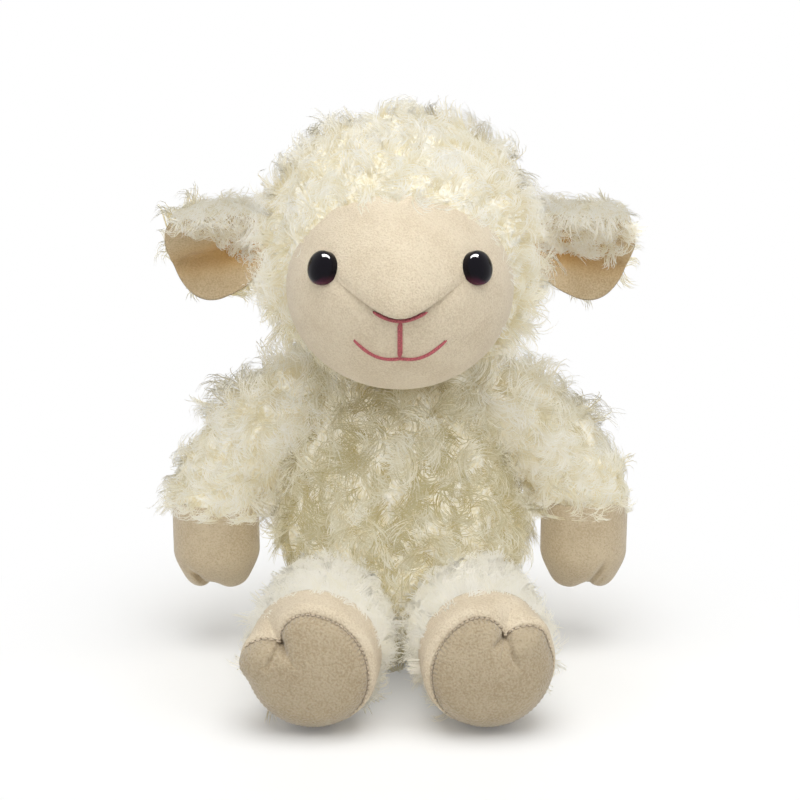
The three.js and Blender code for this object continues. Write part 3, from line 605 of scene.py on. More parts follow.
def strand_tubes(lines, up, sides=3):
    """Flattened tubes round centre lines, from a capped root through a full middle to a point.

    Returns points, the way each faces, walls, caps, and how far along its line each point is.
    """
    count, sections = lines.shape[:2]
    tangent = unit(np.gradient(lines, axis=1))
    beside = unit(np.cross(tangent, up))
    outer = np.cross(beside, tangent)
    s = np.linspace(0, 1, sections)
    radius = (sizes().strand / 2 * (0.55 + 0.9 * s[:-1]) * np.sqrt(1 - s[:-1] ** 2))[None, :, None, None]
    turn = around(sides)[:, None]
    corner = 0.4 * np.cos(turn) * outer[:, :-1, None] + np.sin(turn) * beside[:, :-1, None]
    rings = lines[:, :-1, None] + radius * corner
    points = np.concatenate([rings.reshape(count, -1, 3), lines[:, -1:]], 1)
    facing = np.concatenate([corner.reshape(count, -1, 3), outer[:, -1:]], 1)
    each = points.shape[1]
    k = np.arange(sides)
    root = np.stack([np.zeros(sides - 2, int), k[2:], k[1:-1]], -1)
    caps = np.vstack([fan(sides * (sections - 2) + k, each - 1), root])
    first = each * np.arange(count)[:, None, None]
    walls = (first + grid_quads(sections - 1, sides, True)).reshape(-1, 4)
    along = np.append(np.repeat(s[:-1], sides), 1)
    return points, facing, walls, (first + caps).reshape(-1, 3), along


def wool_piece(name, grown, pile, material, rng, hem):
    """One piece of wool: strands in locks, mapped by tone across and by length up.

    Fine fibres let light through. So the strands cast no shadow and stay out of bounced light, which
    leaves both to the backing under them. Their shading normals lean upwards, and on upper faces also to
    the surface that they grow from. A lock is paler on a crest and darker between clumps, as painted
    light and shade, and paler or darker by its part's painted light level, with a share of chance for it
    and for each of its strands.
    """
    to_surface, to_sky = 1.4, [0, 0, 0.9]
    # painted light and shade: a lock's tone rises on clump crests and falls between clumps
    painted_crest_tone, by_lock, by_strand = 0.2, 0.35, 0.25
    lines = wool_lines(grown, pile, rng)
    hem = hem + 0.0012 * rng.random((len(grown.place), pile.strands, 1))
    lines[..., 2] = np.maximum(lines[..., 2], hem)
    count = len(grown.place) * pile.strands
    skin = np.repeat(grown.normal, pile.strands, 0)[:, None]
    points, facing, walls, caps, along = strand_tubes(lines.reshape(count, -1, 3), skin)
    lock = grown.painted_light_level + 0.08 + painted_crest_tone * grown.crest + by_lock * rng.random(len(grown.place))
    tone = np.repeat(lock, pile.strands) + by_strand * (rng.random(count) - 0.3)
    tone, along = np.broadcast_arrays(np.clip(tone, 0.02, 0.98)[:, None], 0.02 + 0.96 * along)
    skin = np.broadcast_to(skin, points.shape).reshape(-1, 3)
    points, facing = points.reshape(-1, 3), unit(facing).reshape(-1, 3)
    points[:, 2] = np.maximum(points[:, 2], FLOOR_GAP)
    piece = mesh_piece(name, points, walls, caps, material, np.stack([tone, along], -1).reshape(-1, 2))

    def span(faces, start, end):
        return points[faces[:, end]] - points[faces[:, start]]

    flat = np.concatenate([
        np.repeat(np.cross(span(walls, 0, 2), span(walls, 1, 3)), 4, 0),
        np.repeat(np.cross(span(caps, 0, 1), span(caps, 0, 2)), 3, 0),
    ])
    corners = np.concatenate([walls.ravel(), caps.ravel()])
    upper = np.sum(unit(flat) * skin[corners], -1, keepdims=True) > -0.1
    shading = unit(facing[corners] + np.where(upper, to_surface, 0) * skin[corners] + to_sky)
    piece.data.normals_split_custom_set(shading)
    piece.visible_shadow = False
    piece.visible_diffuse = False
    return piece


# Body and limbs

SPLAY = math.radians(6)  # how far each leg turns outwards
LEG_LENGTH = 0.050
HIP_RADIUS = 0.029
CUFF_ASIDE = 0.089  # a hoof's middle from the lamb's


def torso_grid(inset, rows=80, cols=144):
    """The torso's outline, drawn in by an inset, turned about its axis and widened, with a flat seat."""
    seat, top, widened = 0.003, 0.132, 116 / 102
    side = spline([(0.042, 0), (0.051, 0.046), (0.045, 0.104), (0.036, 0.134)], 60)  # half-depth, height
    height = np.linspace(seat + inset, top, rows - 4)
    belly = 0.002 * bell(height - 0.075, 0.025)
    half = np.interp(height, side[:, 1], side[:, 0]) - inset + belly
    half = np.concatenate([half[0] * np.array([0.25, 0.6, 0.85, 0.97]), half])
    height = np.concatenate([seat + inset * np.array([0, 0, 0.1, 0.5]), height])
    turn = around(cols)
    x = widened * half[:, None] * np.sin(turn)
    y = half[:, None] * -np.cos(turn)
    grid = np.stack([x, y, np.broadcast_to(height[:, None], x.shape)], -1) + AXIS
    return pressed_by_legs(grid)


def pressed_by_legs(grid):
    """Points in the rounded end of a leg moved back to the end's far side."""
    room = 0.0275
    for name in SIDES:
        hip = PIVOT[f"leg_{name}_swing"]
        off = grid - hip
        depth = np.sqrt(np.maximum(room**2 - off[..., 0] ** 2 - off[..., 2] ** 2, 0))
        back = np.where(depth > 0, np.maximum(off[..., 1], depth), off[..., 1])
        grid = np.stack([grid[..., 0], hip[1] + back, grid[..., 2]], -1)
    return grid


def ball_grid(centre, radii, rows=80, cols=140):
    """An ellipsoid by its height angle and its angle about the upright axis."""
    pole = np.pi / 2 - 0.04
    up = np.linspace(-pole, pole, rows)[:, None]
    turn = around(cols)
    ring, high = np.cos(up), np.broadcast_to(np.sin(up), (rows, cols))
    return np.stack([ring * np.sin(turn), ring * -np.cos(turn), high], -1) * radii + centre


def round_end(radius, count, start=0.08):
    """Rings of a round end before its widest one: their half-widths, and their places from its middle."""
    cap = np.linspace(start, np.pi / 2, count)[:-1]
    return radius * np.sin(cap), -radius * np.cos(cap)


def leg_axis(side):
    """Direction of a leg from its hip."""
    return np.array([side * math.sin(SPLAY), -math.cos(SPLAY), 0])


def leg_placed(points, side):
    """Points built along -Y from the hip, turned outwards and put on the hip."""
    return turned(points, 2, side * SPLAY) + PIVOT[f"leg_{SIDE_NAMES[side]}_swing"]


def leg_grid(side, inset, rows=30, cols=48):
    """A leg from the round end in its hip to the ankle: a fuller thigh and a drawn-in ankle."""
    along = np.linspace(0, 1.04 * LEG_LENGTH, rows)
    part = along / LEG_LENGTH
    fuller, drawn_in, floor = 0.0015, 0.0005, 0.0025
    thigh = fuller * np.sin(np.pi * np.minimum(1, 1.2 * part)) ** 2
    half = HIP_RADIUS - drawn_in * part**2 + thigh - inset
    end, behind = round_end(HIP_RADIUS - inset, 10)
    half = np.concatenate([end, half])
    along = np.concatenate([behind, along])
    turn = around(cols)
    x, z = half[:, None] * np.sin(turn), half[:, None] * np.cos(turn)
    placed = leg_placed(np.stack([x, np.broadcast_to(-along[:, None], x.shape), z], -1), side)
    placed[..., 2] = np.maximum(placed[..., 2], floor)
    return placed


def arm_path(side):
    """Points that steer an arm: from high in the shoulder, outwards and down, to the cuff."""
    shoulder = PIVOT[f"arm_{SIDE_NAMES[side]}_swing"] + [0, 0, 0.004]
    cuff = np.array([side * CUFF_ASIDE, shoulder[1], 0.068])
    reach = cuff - shoulder
    return [shoulder, shoulder + reach * [0.42, 0, 0.16], cuff - reach * [0.10, 0, 0.46], cuff]


def arm_grid(side, inset, rows=50, cols=72):
    """An arm from the round end in its shoulder to the cuff, a little flattened towards the cuff."""
    t = np.linspace(0, 1, rows)
    at, way = bezier(arm_path(side), t)
    shoulder, widening, flattening = 0.021, 0.0025, 0.14
    half = shoulder + widening * t - inset
    end, behind = round_end(half[0], 9)
    at = np.vstack([at[0] + np.outer(behind, way[0]), at])
    way = np.vstack([np.tile(way[0], (len(end), 1)), way])
    half = np.concatenate([end, half])
    flat = np.concatenate([np.ones(len(end)), 1 - flattening * t])
    across = np.stack([-way[:, 2], np.zeros(len(way)), way[:, 0]], -1)
    turn = around(cols)
    wide = (half[:, None] * np.cos(turn))[..., None] * across[:, None]
    deep = ((half * flat)[:, None] * np.sin(turn))[..., None] * np.array([0, 1, 0])
    return at[:, None] + wide + deep


def in_leg(points, reach):
    """Which points lie within a reach of a leg's axis."""
    found, sole = np.zeros(points.shape[:-1], bool), 0.066
    for name, side in SIDES.items():
        off = points - PIVOT[f"leg_{name}_swing"]
        along = np.clip(off @ leg_axis(side), 0, sole)
        found |= np.linalg.norm(off - along[..., None] * leg_axis(side), axis=-1) < reach
    return found


def in_arm(points, reach):
    """Which points lie within a reach of an arm's path."""
    found = np.zeros(points.shape[:-1], bool)
    for side in SIDES.values():
        path = bezier(arm_path(side), np.linspace(0, 1, 14))[0]
        found |= np.linalg.norm(points[:, None] - path, axis=-1).min(-1) < reach
    return found


def tail_grid(inset, rows=24, cols=32):
    """A tail: a round root against the back, then a flattened drop that hangs down and back."""
    root, reach, least = 0.007, 0.025, 0.0008
    t = np.linspace(0, 0.985, rows)
    full = (root + 0.005 * smooth(0, 0.6, t)) * np.sqrt(1 - t**4)
    end, behind = round_end(root, 7, 0.1)
    wide = np.concatenate([end, full])
    thick = np.concatenate([end, full * (1 - 0.25 * t)])
    along = np.concatenate([behind, t * reach])
    turn = around(cols)
    x = np.maximum(wide - inset, least)[:, None] * np.cos(turn)
    z = np.maximum(thick - inset, least)[:, None] * np.sin(turn)
    points = np.stack([x, np.broadcast_to(along[:, None], x.shape), z], -1)
    return turned(points, 0, -math.radians(60)) + PIVOT["tail_flop"]


# Face

FACE_REACH = math.radians(130)  # how far round the dome the panels go, under the wool


def face_centre():
    """Middle of the face's dome, and its half-sizes."""
    size = sizes()
    centre = HEAD_CENTRE + [0, -size.face_forward, -size.face_drop]
    return centre, np.array([size.face_width / 2, size.face_bulge, size.face_height / 2])


def on_face(x, z, lift=0.0):
    """The point of the face's dome in front of a place, grown by a lift, and the dome's normal there."""
    centre, radii = face_centre()
    grown = radii + lift
    across, high = (x - centre[0]) / grown[0], (z - centre[2]) / grown[2]
    deep = np.sqrt(np.maximum(0, 1 - across**2 - high**2))
    point = np.stack([x, centre[1] - grown[1] * deep, z], -1)
    return point, unit((point - centre) / grown**2)


def seam_rise(across):
    """Height of the face's seam at a place across it, both angles from the dome's front: a hyperbola."""
    return -0.109 + 0.82 * (np.hypot(across, 0.2) - 0.2)


def nose_height():
    """Height of the nose seam."""
    centre, radii = face_centre()
    return centre[2] + radii[2] * math.sin(seam_rise(0.0))


def rolled(radius, away):
    """How far a cloth's edge is drawn in along a quarter circle, at a distance from the edge."""
    return radius - np.sqrt(np.maximum(radius**2 - np.maximum(radius - away, 0) ** 2, 0))


def face_panel(upper, rows=72, cols=161):
    """One face panel between the seam and the rim under the wool, as outer and inner grids.

    A place is an angle from the dome's front as a flat vector q: the dome's point there is its middle
    plus (sin|q| q / |q|, -cos|q|) times its half-sizes. Rows run straight from the seam to the rim. Near
    the seam the panel rolls in along a quarter circle, and at the nose the upper panel stands proud.
    """
    cloth, roll = 0.0014, 0.0024 if upper else 0.0012
    centre, radii = face_centre()
    trial = np.linspace(0, FACE_REACH, 400)
    end = np.interp(FACE_REACH, np.hypot(trial, seam_rise(trial)), trial)
    tilt = math.atan2(seam_rise(end), end)
    u = 0.985 * np.linspace(-1, 1, cols)
    seam = np.stack([end * u, seam_rise(end * u)], -1)
    swing = np.pi / 2 - u * (np.pi / 2 - tilt) if upper else -np.pi / 2 + u * (np.pi / 2 + tilt)
    rim = FACE_REACH * np.stack([np.cos(swing), np.sin(swing)], -1)
    v = (np.linspace(0, 1, rows) ** 1.7)[:, None, None]
    q = seam * (1 - v) + rim * v
    size = np.linalg.norm(q, axis=-1, keepdims=True)
    flat = np.sin(size) * q / np.maximum(size, 1e-9)
    ball = np.stack([flat[..., 0], -np.cos(size[..., 0]), flat[..., 1]], -1)
    dome = centre + ball * radii
    normal = unit(ball / radii)
    away = np.linalg.norm((q - seam) * radii[[0, 2]], axis=-1)
    aside = np.abs(dome[0, :, 0])
    near_nose = bell(aside, 0.015)
    near_eye = 1 - smooth(0.022, 0.036, aside)
    tuck = rolled(0.00005 + roll * near_nose, away)
    valley = 0.0010 * bell(away, 0.0035) * (near_eye - near_nose)
    wrinkle = 0.0004 * bell(away, 0.006) * near_eye * np.sin(aside * 2 * np.pi / 0.0026)
    dome = dome - (tuck + valley + wrinkle)[..., None] * normal
    if upper:
        front = smooth(0, 0.3, -ball[..., 1])
        bump = np.exp(-((dome[..., 0] / 0.016) ** 2) - ((dome[..., 2] - nose_height()) / 0.030) ** 2)
        dome = dome - (sizes().nose_proud * front * bump)[..., None] * np.array([0, 1, 0])
    return dome, dome - cloth * normal


def satin(name, line, normal, width, material):
    """Embroidery along a line: threads laid close across it, bowed over the cloth and a little slanted."""
    pitch = 0.00042
    step = np.linalg.norm(np.diff(line, axis=0), axis=-1)
    run = np.concatenate([[0], np.cumsum(step)])
    at = np.linspace(0, run[-1], max(4, int(run[-1] / pitch)))
    centre, up = (
        np.stack([np.interp(at, run, field[:, k]) for k in range(3)], -1) for field in (line, normal)
    )
    up = unit(up)
    way = unit(np.gradient(centre, axis=0))
    side = unit(np.cross(way, up))
    q = np.linspace(-1, 1, 7)
    bow = 0.42 * width * np.sqrt(np.maximum(0, 1 - q**2)) - 0.12 * width
    slant = 0.25 * width * q
    part = np.linspace(0, 1, len(at))
    taper = smooth(-0.1, 0.12, part) * smooth(-0.1, 0.12, part[::-1])
    across = taper[:, None, None] * (0.5 * width * q)[:, None] * side[:, None]
    paths = centre[:, None] + across + bow[:, None] * up[:, None] + slant[:, None] * way[:, None]
    return tubes(name, paths, 0.62 * pitch, material)


def tubes(name, paths, radius, material, sides=5):
    """Round closed tubes along many paths at once, each ending in a point beyond its last ring."""
    count, sections = paths.shape[:2]
    tangent = unit(np.gradient(paths, axis=1))
    chord = unit(paths[:, -1] - paths[:, 0])
    helper = np.where(np.abs(chord[:, 2:]) < 0.8, [[0.0, 0.0, 1.0]], [[1.0, 0.0, 0.0]])[:, None]
    across = unit(np.cross(tangent, helper))
    other = np.cross(across, tangent)
    turn = around(sides)[:, None]
    ring = np.cos(turn) * across[:, :, None] + np.sin(turn) * other[:, :, None]
    rings = paths[:, :, None] + radius * ring
    tip = 0.6 * radius
    ends = np.stack([paths[:, 0] - tip * tangent[:, 0], paths[:, -1] + tip * tangent[:, -1]], 1)
    points = np.concatenate([rings.reshape(count, -1, 3), ends], 1)
    each = points.shape[1]
    k = np.arange(sides)
    caps = np.vstack([fan(k, each - 2)[:, ::-1], fan((sections - 1) * sides + k, each - 1)])
    first = each * np.arange(count)[:, None, None]
    walls = (first + grid_quads(sections, sides, True)).reshape(-1, 4)
    return mesh_piece(name, points.reshape(-1, 3), walls, (first + caps).reshape(-1, 3), material)


# Ears

EAR_EDGE = {"left": (0.12, 0.014), "right": (0.55, 0.016)}  # edge of the front wool: slope, and drop
EAR_FOLD = -0.009  # where the ear's groove runs, across its leaf


def ear_point(along, across, depth):
    """A place on the cupped ear: along it from its root, round the cup, and behind its seam face.

    The leaf is bent about its own length; the cup's radius grows from root to tip.
    """
    at_root, growth = 0.013, 0.023
    fold = at_root + growth * along / sizes().ear_length
    bend = across / fold
    radius = fold + depth
    return np.stack([along, radius * np.cos(bend) - fold, radius * np.sin(bend)], -1)


def ear_leaf(rows=40, cols=96):
    """Places over an ear's round leaf: along it, across it, and their share of the way to the rim."""
    size = sizes()
    out = np.linspace(0.02, 1, rows)[:, None]
    turn = around(cols)
    low = np.sin(turn) < 0
    full = np.where(low, 0.7, 1.25)  # the lower half is squarer than the upper
    far, wide = (np.sign(wave) * np.abs(wave) ** full for wave in (np.cos(turn), np.sin(turn)))
    along = size.ear_length / 2 * (1 + out * far)
    root = np.where(low, 0.92, 0.7)  # how wide it is at its root
    narrow = root + (1 - root) * np.minimum(1, 1.6 * along / size.ear_length)
    return along, size.ear_width / 2 * out * wide * narrow, out + 0 * along


def ear_grid(side, depth):
    """One face of an ear at a depth behind its seam, grooved along its middle, on its drooping root."""
    roll, droop = math.radians(28), math.radians(16)
    along, across, out = ear_leaf()
    groove = 0.005 * bell(across - EAR_FOLD, 0.004) * smooth(0, 0.5, 1.2 - out)
    points = ear_point(along, across, depth * (1 - out**6) + groove)
    points = turned(turned(points, 0, roll), 1, droop)
    return points * [side, 1, 1] + PIVOT[f"ear_{SIDE_NAMES[side]}_flop"]


def painted_fold_mask():
    """How deep in the ear's fold each place of its leaf lies, from 0 to 1: the strength of its painted
    shade.
    """
    along, across, _ = ear_leaf()
    return bell(across - EAR_FOLD, 0.0085) * (1 - 0.75 * (along / sizes().ear_length))


# Hooves and feet

HOOF_TOP, HOOF_TALL = 0.0677, 0.040
HOOF_FOLD = {"left": (0.009, 0.017), "right": (0.014, 0.0125)}  # reach of the main crease, outwards and up
FOOT_START = LEG_LENGTH + 0.0003
FOOT_END = FOOT_START + 0.014
PUCKERS = 72  # stitches round a sole

# Toes beside a sole's cleft: place and width in degrees, and height
TOES = {
    "left": ((30, 13, 0.0022), (-38, 16, 0.0008)),
    "right": ((30, 13, 0.0022), (46, 11, 0.0030), (-38, 16, 0.0008)),
}
# Folds from a sole's cleft: turn outwards in degrees, and length
FOLDS = {"left": ((40, 0.014), (-45, 0.008)), "right": ((71, 0.013), (6, 0.006))}


def crease(x, z, start, end, width):
    """How near places are to a fold line, as a bell across it that fades towards its far end."""
    start, run = np.array(start), np.array(end) - start
    s = ((x - start[0]) * run[0] + (z - start[1]) * run[1]) / (run @ run)
    held = np.clip(s, 0, 1)
    off = np.hypot(x - start[0] - held * run[0], z - start[1] - held * run[1])
    return bell(off, width) * (1 - smooth(0.5, 1.05, s))


def hoof_grid(side, rows=80, cols=160):
    """A hoof below the cuff: a mitten with square shoulders that narrows to two short toes.

    At a share t of its length its half-width is 1 - 0.3 smooth(0.5, 1, t), closed at the end by
    sqrt(1 - t^20). The end is lifted in a shallow notch between the toes, and two creases run from the
    notch outwards and up.
    """
    half_width, half_depth = 0.0208, 0.018
    cleft, middle = sizes().hoof_cleft, 0.001
    cuff, shown = np.linspace(-0.14, 0, 8)[:-1], 0.995 * np.sin(np.linspace(0, 1, rows) * np.pi / 2)
    t = np.concatenate([cuff, shown])[:, None]
    low = np.clip(t, 0, 1)
    turn = around(cols)
    taper = smooth(0.5, 1, low)
    square = np.sign(np.cos(turn)) * np.abs(np.cos(turn)) ** 0.85
    x = half_width * (1 - 0.3 * taper) * np.sqrt(1 - low**20) * square
    y = half_depth * (1 - 0.2 * taper) * np.sqrt(1 - low**7) * np.sin(turn)
    z = HOOF_TOP - HOOF_TALL * t + cleft * low**4 * bell(x - middle, 0.005)
    notch = HOOF_TOP - HOOF_TALL + cleft
    name = SIDE_NAMES[side]
    out, up = HOOF_FOLD[name]
    fold = 0.0032 * crease(x, z, (middle, notch - 0.002), (middle + out, notch + up), 0.0016)
    fold = fold + 0.0014 * crease(x, z, (0.006, notch + 0.001), (0.010, notch + 0.009), 0.0012)
    y = y - np.sign(y) * np.minimum(fold, np.abs(y))
    return np.stack([side * x, y, z], -1) + [side * CUFF_ASIDE, PIVOT[f"arm_{name}_swing"][1], 0]


def cleft_place(side):
    """Angle of a foot's cleft from the top of its sole."""
    return sizes().cleft_left if side > 0 else -sizes().cleft_right


def foot_edge(turn, along, side):
    """Radius of a foot at an angle from its top: round, with a cleft and full toes towards the sole."""
    off = side * ((turn - cleft_place(side) + np.pi) % (2 * np.pi) - np.pi)
    pinch = np.clip((along - FOOT_START) / (FOOT_END - FOOT_START), 0, 1) ** 1.5
    notch = np.exp(-((np.abs(off) / np.where(off > 0, math.radians(12), math.radians(17))) ** 1.15))
    toes = 0
    for place, width, height in TOES[SIDE_NAMES[side]]:
        toes = toes + height * bell(off - math.radians(place), math.radians(width))
    return sizes().foot_diameter / 2 - pinch * (sizes().foot_cleft * notch - toes)


def seam_turn(turn, side):
    """How far round a foot is from where its band shows most, high inside: 0 there, 1 opposite."""
    return (1 - np.cos(turn + side * math.radians(25))) / 2


def seam_inset(turn, side):
    """How far the sole's seam lies in from the foot's side."""
    return 0.0044 - 0.0036 * smooth(0, 1, seam_turn(turn, side))


def seam_back(turn, side):
    """How far the sole wraps over the foot's side, so that its seam lies behind the front."""
    return 0.006 * smooth(0.3, 1, seam_turn(turn, side))


def seam_edge(turn, side):
    """Radius of the sole's seam."""
    return foot_edge(turn, FOOT_END, side) - seam_inset(turn, side)


def band_grid(side, cols=432):
    """The wall of a foot from inside the leg's wool to the seam, where it rolls in and is gathered."""
    turn = around(cols)
    roll = np.linspace(0, 1.75, 12)
    start, bent = FOOT_START - 0.005, FOOT_END - 0.0035
    wall = np.linspace(start, bent, 10)[:-1]
    along = np.concatenate([wall, bent + 0.004 * np.sin(roll), [FOOT_END - 0.0012]])
    inset = np.concatenate([0 * wall, 0.8 * (1 - np.cos(roll)), [1.12]])
    along, inset = along[:, None], inset[:, None]
    gathered = 0.0003 * smooth(0.3, 0.8, inset) * np.cos(PUCKERS * turn)
    inset = inset * seam_inset(turn, side)
    along = along - seam_back(turn, side) * smooth(FOOT_START, FOOT_END - 0.002, along)
    half = foot_edge(turn, along, side) - inset - gathered
    points = np.stack([half * np.sin(turn), np.broadcast_to(-along, half.shape), half * np.cos(turn)], -1)
    return leg_placed(points, side)


def sole_height(x, z, out, turn, side):
    """How far a sole stands out: crowned, rolled in and gathered at its edge, and folded at its cleft."""
    edge, sink = FOOT_END + 0.0040, 0.0022
    place = cleft_place(side)
    away = (1 - out) * seam_edge(turn, side)
    tuck = rolled(0.0042 + seam_back(turn, side), away)
    gathered = 0.0007 * bell(away, 0.0016) * np.cos(PUCKERS * turn)
    notch = seam_edge(place, side) * heading(place)
    sunk = sink * bell(np.hypot(x - notch[0], z - notch[1]), 0.004)
    for spread, reach in FOLDS[SIDE_NAMES[side]]:
        end = notch + reach * heading(place + np.pi - side * math.radians(spread))
        sunk = sunk + sink * crease(x, z, notch, end, 0.0013)
    toe = 0.019 * heading(place + side * math.radians(30))
    plump = 0.001 * bell(np.hypot(x - toe[0], z - toe[1]), 0.006)
    return edge + sizes().sole_crown * (1 - out**2) - tuck - gathered - sunk + plump


def sole_grid(side, rows=44, cols=432):
    """A sole from its middle to the seam, then back under it to the middle."""
    turn = around(cols)
    out = np.linspace(0.02, 1, rows)[:, None] ** 0.8
    half = out * seam_edge(turn, side)
    x, z = half * np.sin(turn), half * np.cos(turn)
    face = leg_placed(np.stack([x, -sole_height(x, z, out, turn, side), z], -1), side)
    cloth = 0.0012
    rim = face[-1] - cloth * leg_axis(side)
    middle = rim.mean(0) + 0.02 * (rim - rim.mean(0))
    return np.concatenate([face, rim[None], middle[None]])


def sole_stitches(side):
    """Paths of the stitches in a sole's seam where the band shows, each most of the way to the next."""
    turn = 2 * np.pi * (np.arange(PUCKERS)[:, None] + np.linspace(-0.32, 0.32, 6)) / PUCKERS
    turn = turn[seam_turn(turn[:, 0], side) < 0.6]
    half = seam_edge(turn, side) + 0.0002
    high = FOOT_END + 0.0008 + 0.0003 * np.cos(np.linspace(-1.5, 1.5, 6)) - seam_back(turn, side)
    return leg_placed(np.stack([half * np.sin(turn), -high, half * np.cos(turn)], -1), side)


# Operators

# How full each cover is meant to be padded; stuffed takes these but doesn't use them
FILL = {"torso": 0.8, "head": 0.85, "face": 0.9, "arm": 0.75, "hoof": 0.8, "leg": 0.85, "tail": 0.6}


def settle(piece, body, slot, *nodes):
    """A piece that moves with a body and stands for solids, which it hides. Its slot is not used."""
    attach(piece, body)
    if nodes:
        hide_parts(*nodes)
    return piece


def stuffed(name, grid, material, fill, body, slot, *nodes):
    """A closed form, settled. Its fill is not used."""
    settle(closed_skin(name, grid, material), body, slot, *nodes)


def grow(name, grown, pile, material, rng, body, slot="wool", hem=FLOOR_HEM):
    """A piece of wool, settled."""
    settle(wool_piece(name, grown, pile, material, rng, hem), body, slot)


class LAMB_OT_torso(bpy.types.Operator):
    """Stuffed torso in curly wool"""

    bl_idname = "lamb.torso"
    bl_label = "Torso"

    def execute(self, context):
        made, seed = materials(), 1
        rng = np.random.default_rng(11)
        grid = lumpy(torso_grid(sizes().body_pile), 0.0020, seed)
        solids = ("torso_cover", "torso_stuffing", "seat_pellet_bag")
        stuffed("torso_backing", grid, made["backing"], FILL["torso"], "torso", "wool", *solids)
        place, normal = scatter(grid[3:], True, LOCK_COUNT["torso"], rng)
        over = place + 0.004 * normal
        free = ~in_leg(over, 0.026) & ~in_arm(over, 0.014)
        place, normal = place[free], normal[free]
        x, y, z = place.T
        fall = (1.4 * smooth(0.108, 0.124, z) - 0.5)[:, None] * [0, 0, 1]
        way = ways(fall, place, 0.6, 1.1, rng)
        beside = smooth(0.040, 0.050, np.abs(x)) * smooth(0.050, 0.065, z)
        lift = 1 + np.maximum(smooth(0.100, 0.120, z), 0.8 * beside)
        # painted shade: the torso's wool darker than other parts, and darkest at the front, under the head
        painted_light_level = 0.25 * smooth(-0.02, 0.03, y - AXIS[1]) - 0.15
        grown = locks(place, normal, way, clumps(place, seed), lift, painted_light_level)
        for name, part in zip(("right", "front", "left"), shared(grown, 3)):
            grow(f"torso_wool_{name}", part, BODY_WOOL, made["wool"], rng, "torso")
        return {"FINISHED"}


class LAMB_OT_head(bpy.types.Operator):
    """Stuffed head in curly wool"""

    bl_idname = "lamb.head"
    bl_label = "Head"

    def execute(self, context):
        made, seed = materials(), 2
        rng = np.random.default_rng(12)
        grid = lumpy(ball_grid(HEAD_CENTRE, HEAD_RADII - sizes().body_pile), 0.0016, seed)
        solids = ("head_cover", "head_stuffing")
        stuffed("head_backing", grid, made["backing"], FILL["head"], "head", "wool", *solids)
        place, normal = scatter(grid, True, LOCK_COUNT["head"], rng)
        centre, radii = face_centre()
        off = (place - centre) / radii
        low = place[:, 2] < PIVOT["neck_turn"][2] + 0.012
        neck = low & (np.hypot(*(place - AXIS)[:, :2].T) < 0.026)
        rim = 0.965 - 0.035 * smooth(0.6, 0.9, np.abs(off[:, 0]))
        free = (np.linalg.norm(off, axis=-1) > rim) & ~neck
        place, normal, off = place[free], normal[free], off[free]
        away = np.linalg.norm(off, axis=-1, keepdims=True)
        from_face = unit(off) * [1, 0.4, 1] * (0.1 + 0.9 * smooth(1.02, 1.2, away))
        way = ways(1.2 * from_face + [0, 0.2, -0.2], place, 0.5, 0.8, rng)
        wide = np.abs(place[:, 0])
        jaw = smooth(0.028, 0.042, wide) * (1 - smooth(0.155, 0.180, place[:, 2]))
        lift = 1 + 0.5 * smooth(0.035, 0.060, wide) + 0.8 * jaw
        # painted light: the head's wool drawn paler, lit from above
        grown = locks(place, normal, way, clumps(place, seed), lift, 0.45)
        for name, part in zip(("right", "front", "left"), shared(grown, 3)):
            grow(f"head_wool_{name}", part, HEAD_WOOL, made["wool"], rng, "head")
        for name in SIDES:
            finish = frame["nodes"][f"eye_washer_{name}"].data.materials
            finish.clear()
            finish.append(made["washer"])
        return {"FINISHED"}


class LAMB_OT_face(bpy.types.Operator):
    """Two face panels that meet in a seam at the nose, with embroidered nose and mouth"""

    bl_idname = "lamb.face"
    bl_label = "Face"

    def execute(self, context):
        made, size = materials(), sizes()
        for name, upper in (("upper", True), ("lower", False)):
            panel = closed_sheet(f"face_{name}_plush", *face_panel(upper), made["plush"])
            settle(panel, "head", "minky", f"face_{name}")

        def sew(name, x, z, width, *nodes):
            settle(satin(name, *on_face(x, z, 0.0002), width, made["thread"]), "head", "thread", *nodes)

        centre, radii = face_centre()
        across = np.linspace(-0.22, 0.22, 60)
        z = centre[2] + radii[2] * np.sin(seam_rise(across)) - 0.0014
        sew("nose_embroidery", radii[0] * np.sin(across), z, 0.8 * size.stitch, "nose_stitch")
        bottom = nose_height() - 0.0190
        z = np.linspace(nose_height() - 0.0020, bottom + 0.0010, 40)
        sew("lip_embroidery", 0 * z, z, size.stitch)
        part = np.linspace(-1, 1, 90)
        z = bottom + 0.0078 * np.abs(part) ** 2.2 - 0.0012 * np.sin(np.pi * np.abs(part))
        sew("mouth_embroidery", part * size.mouth_width / 2, z, 0.75 * size.stitch, "mouth_stitch")
        return {"FINISHED"}


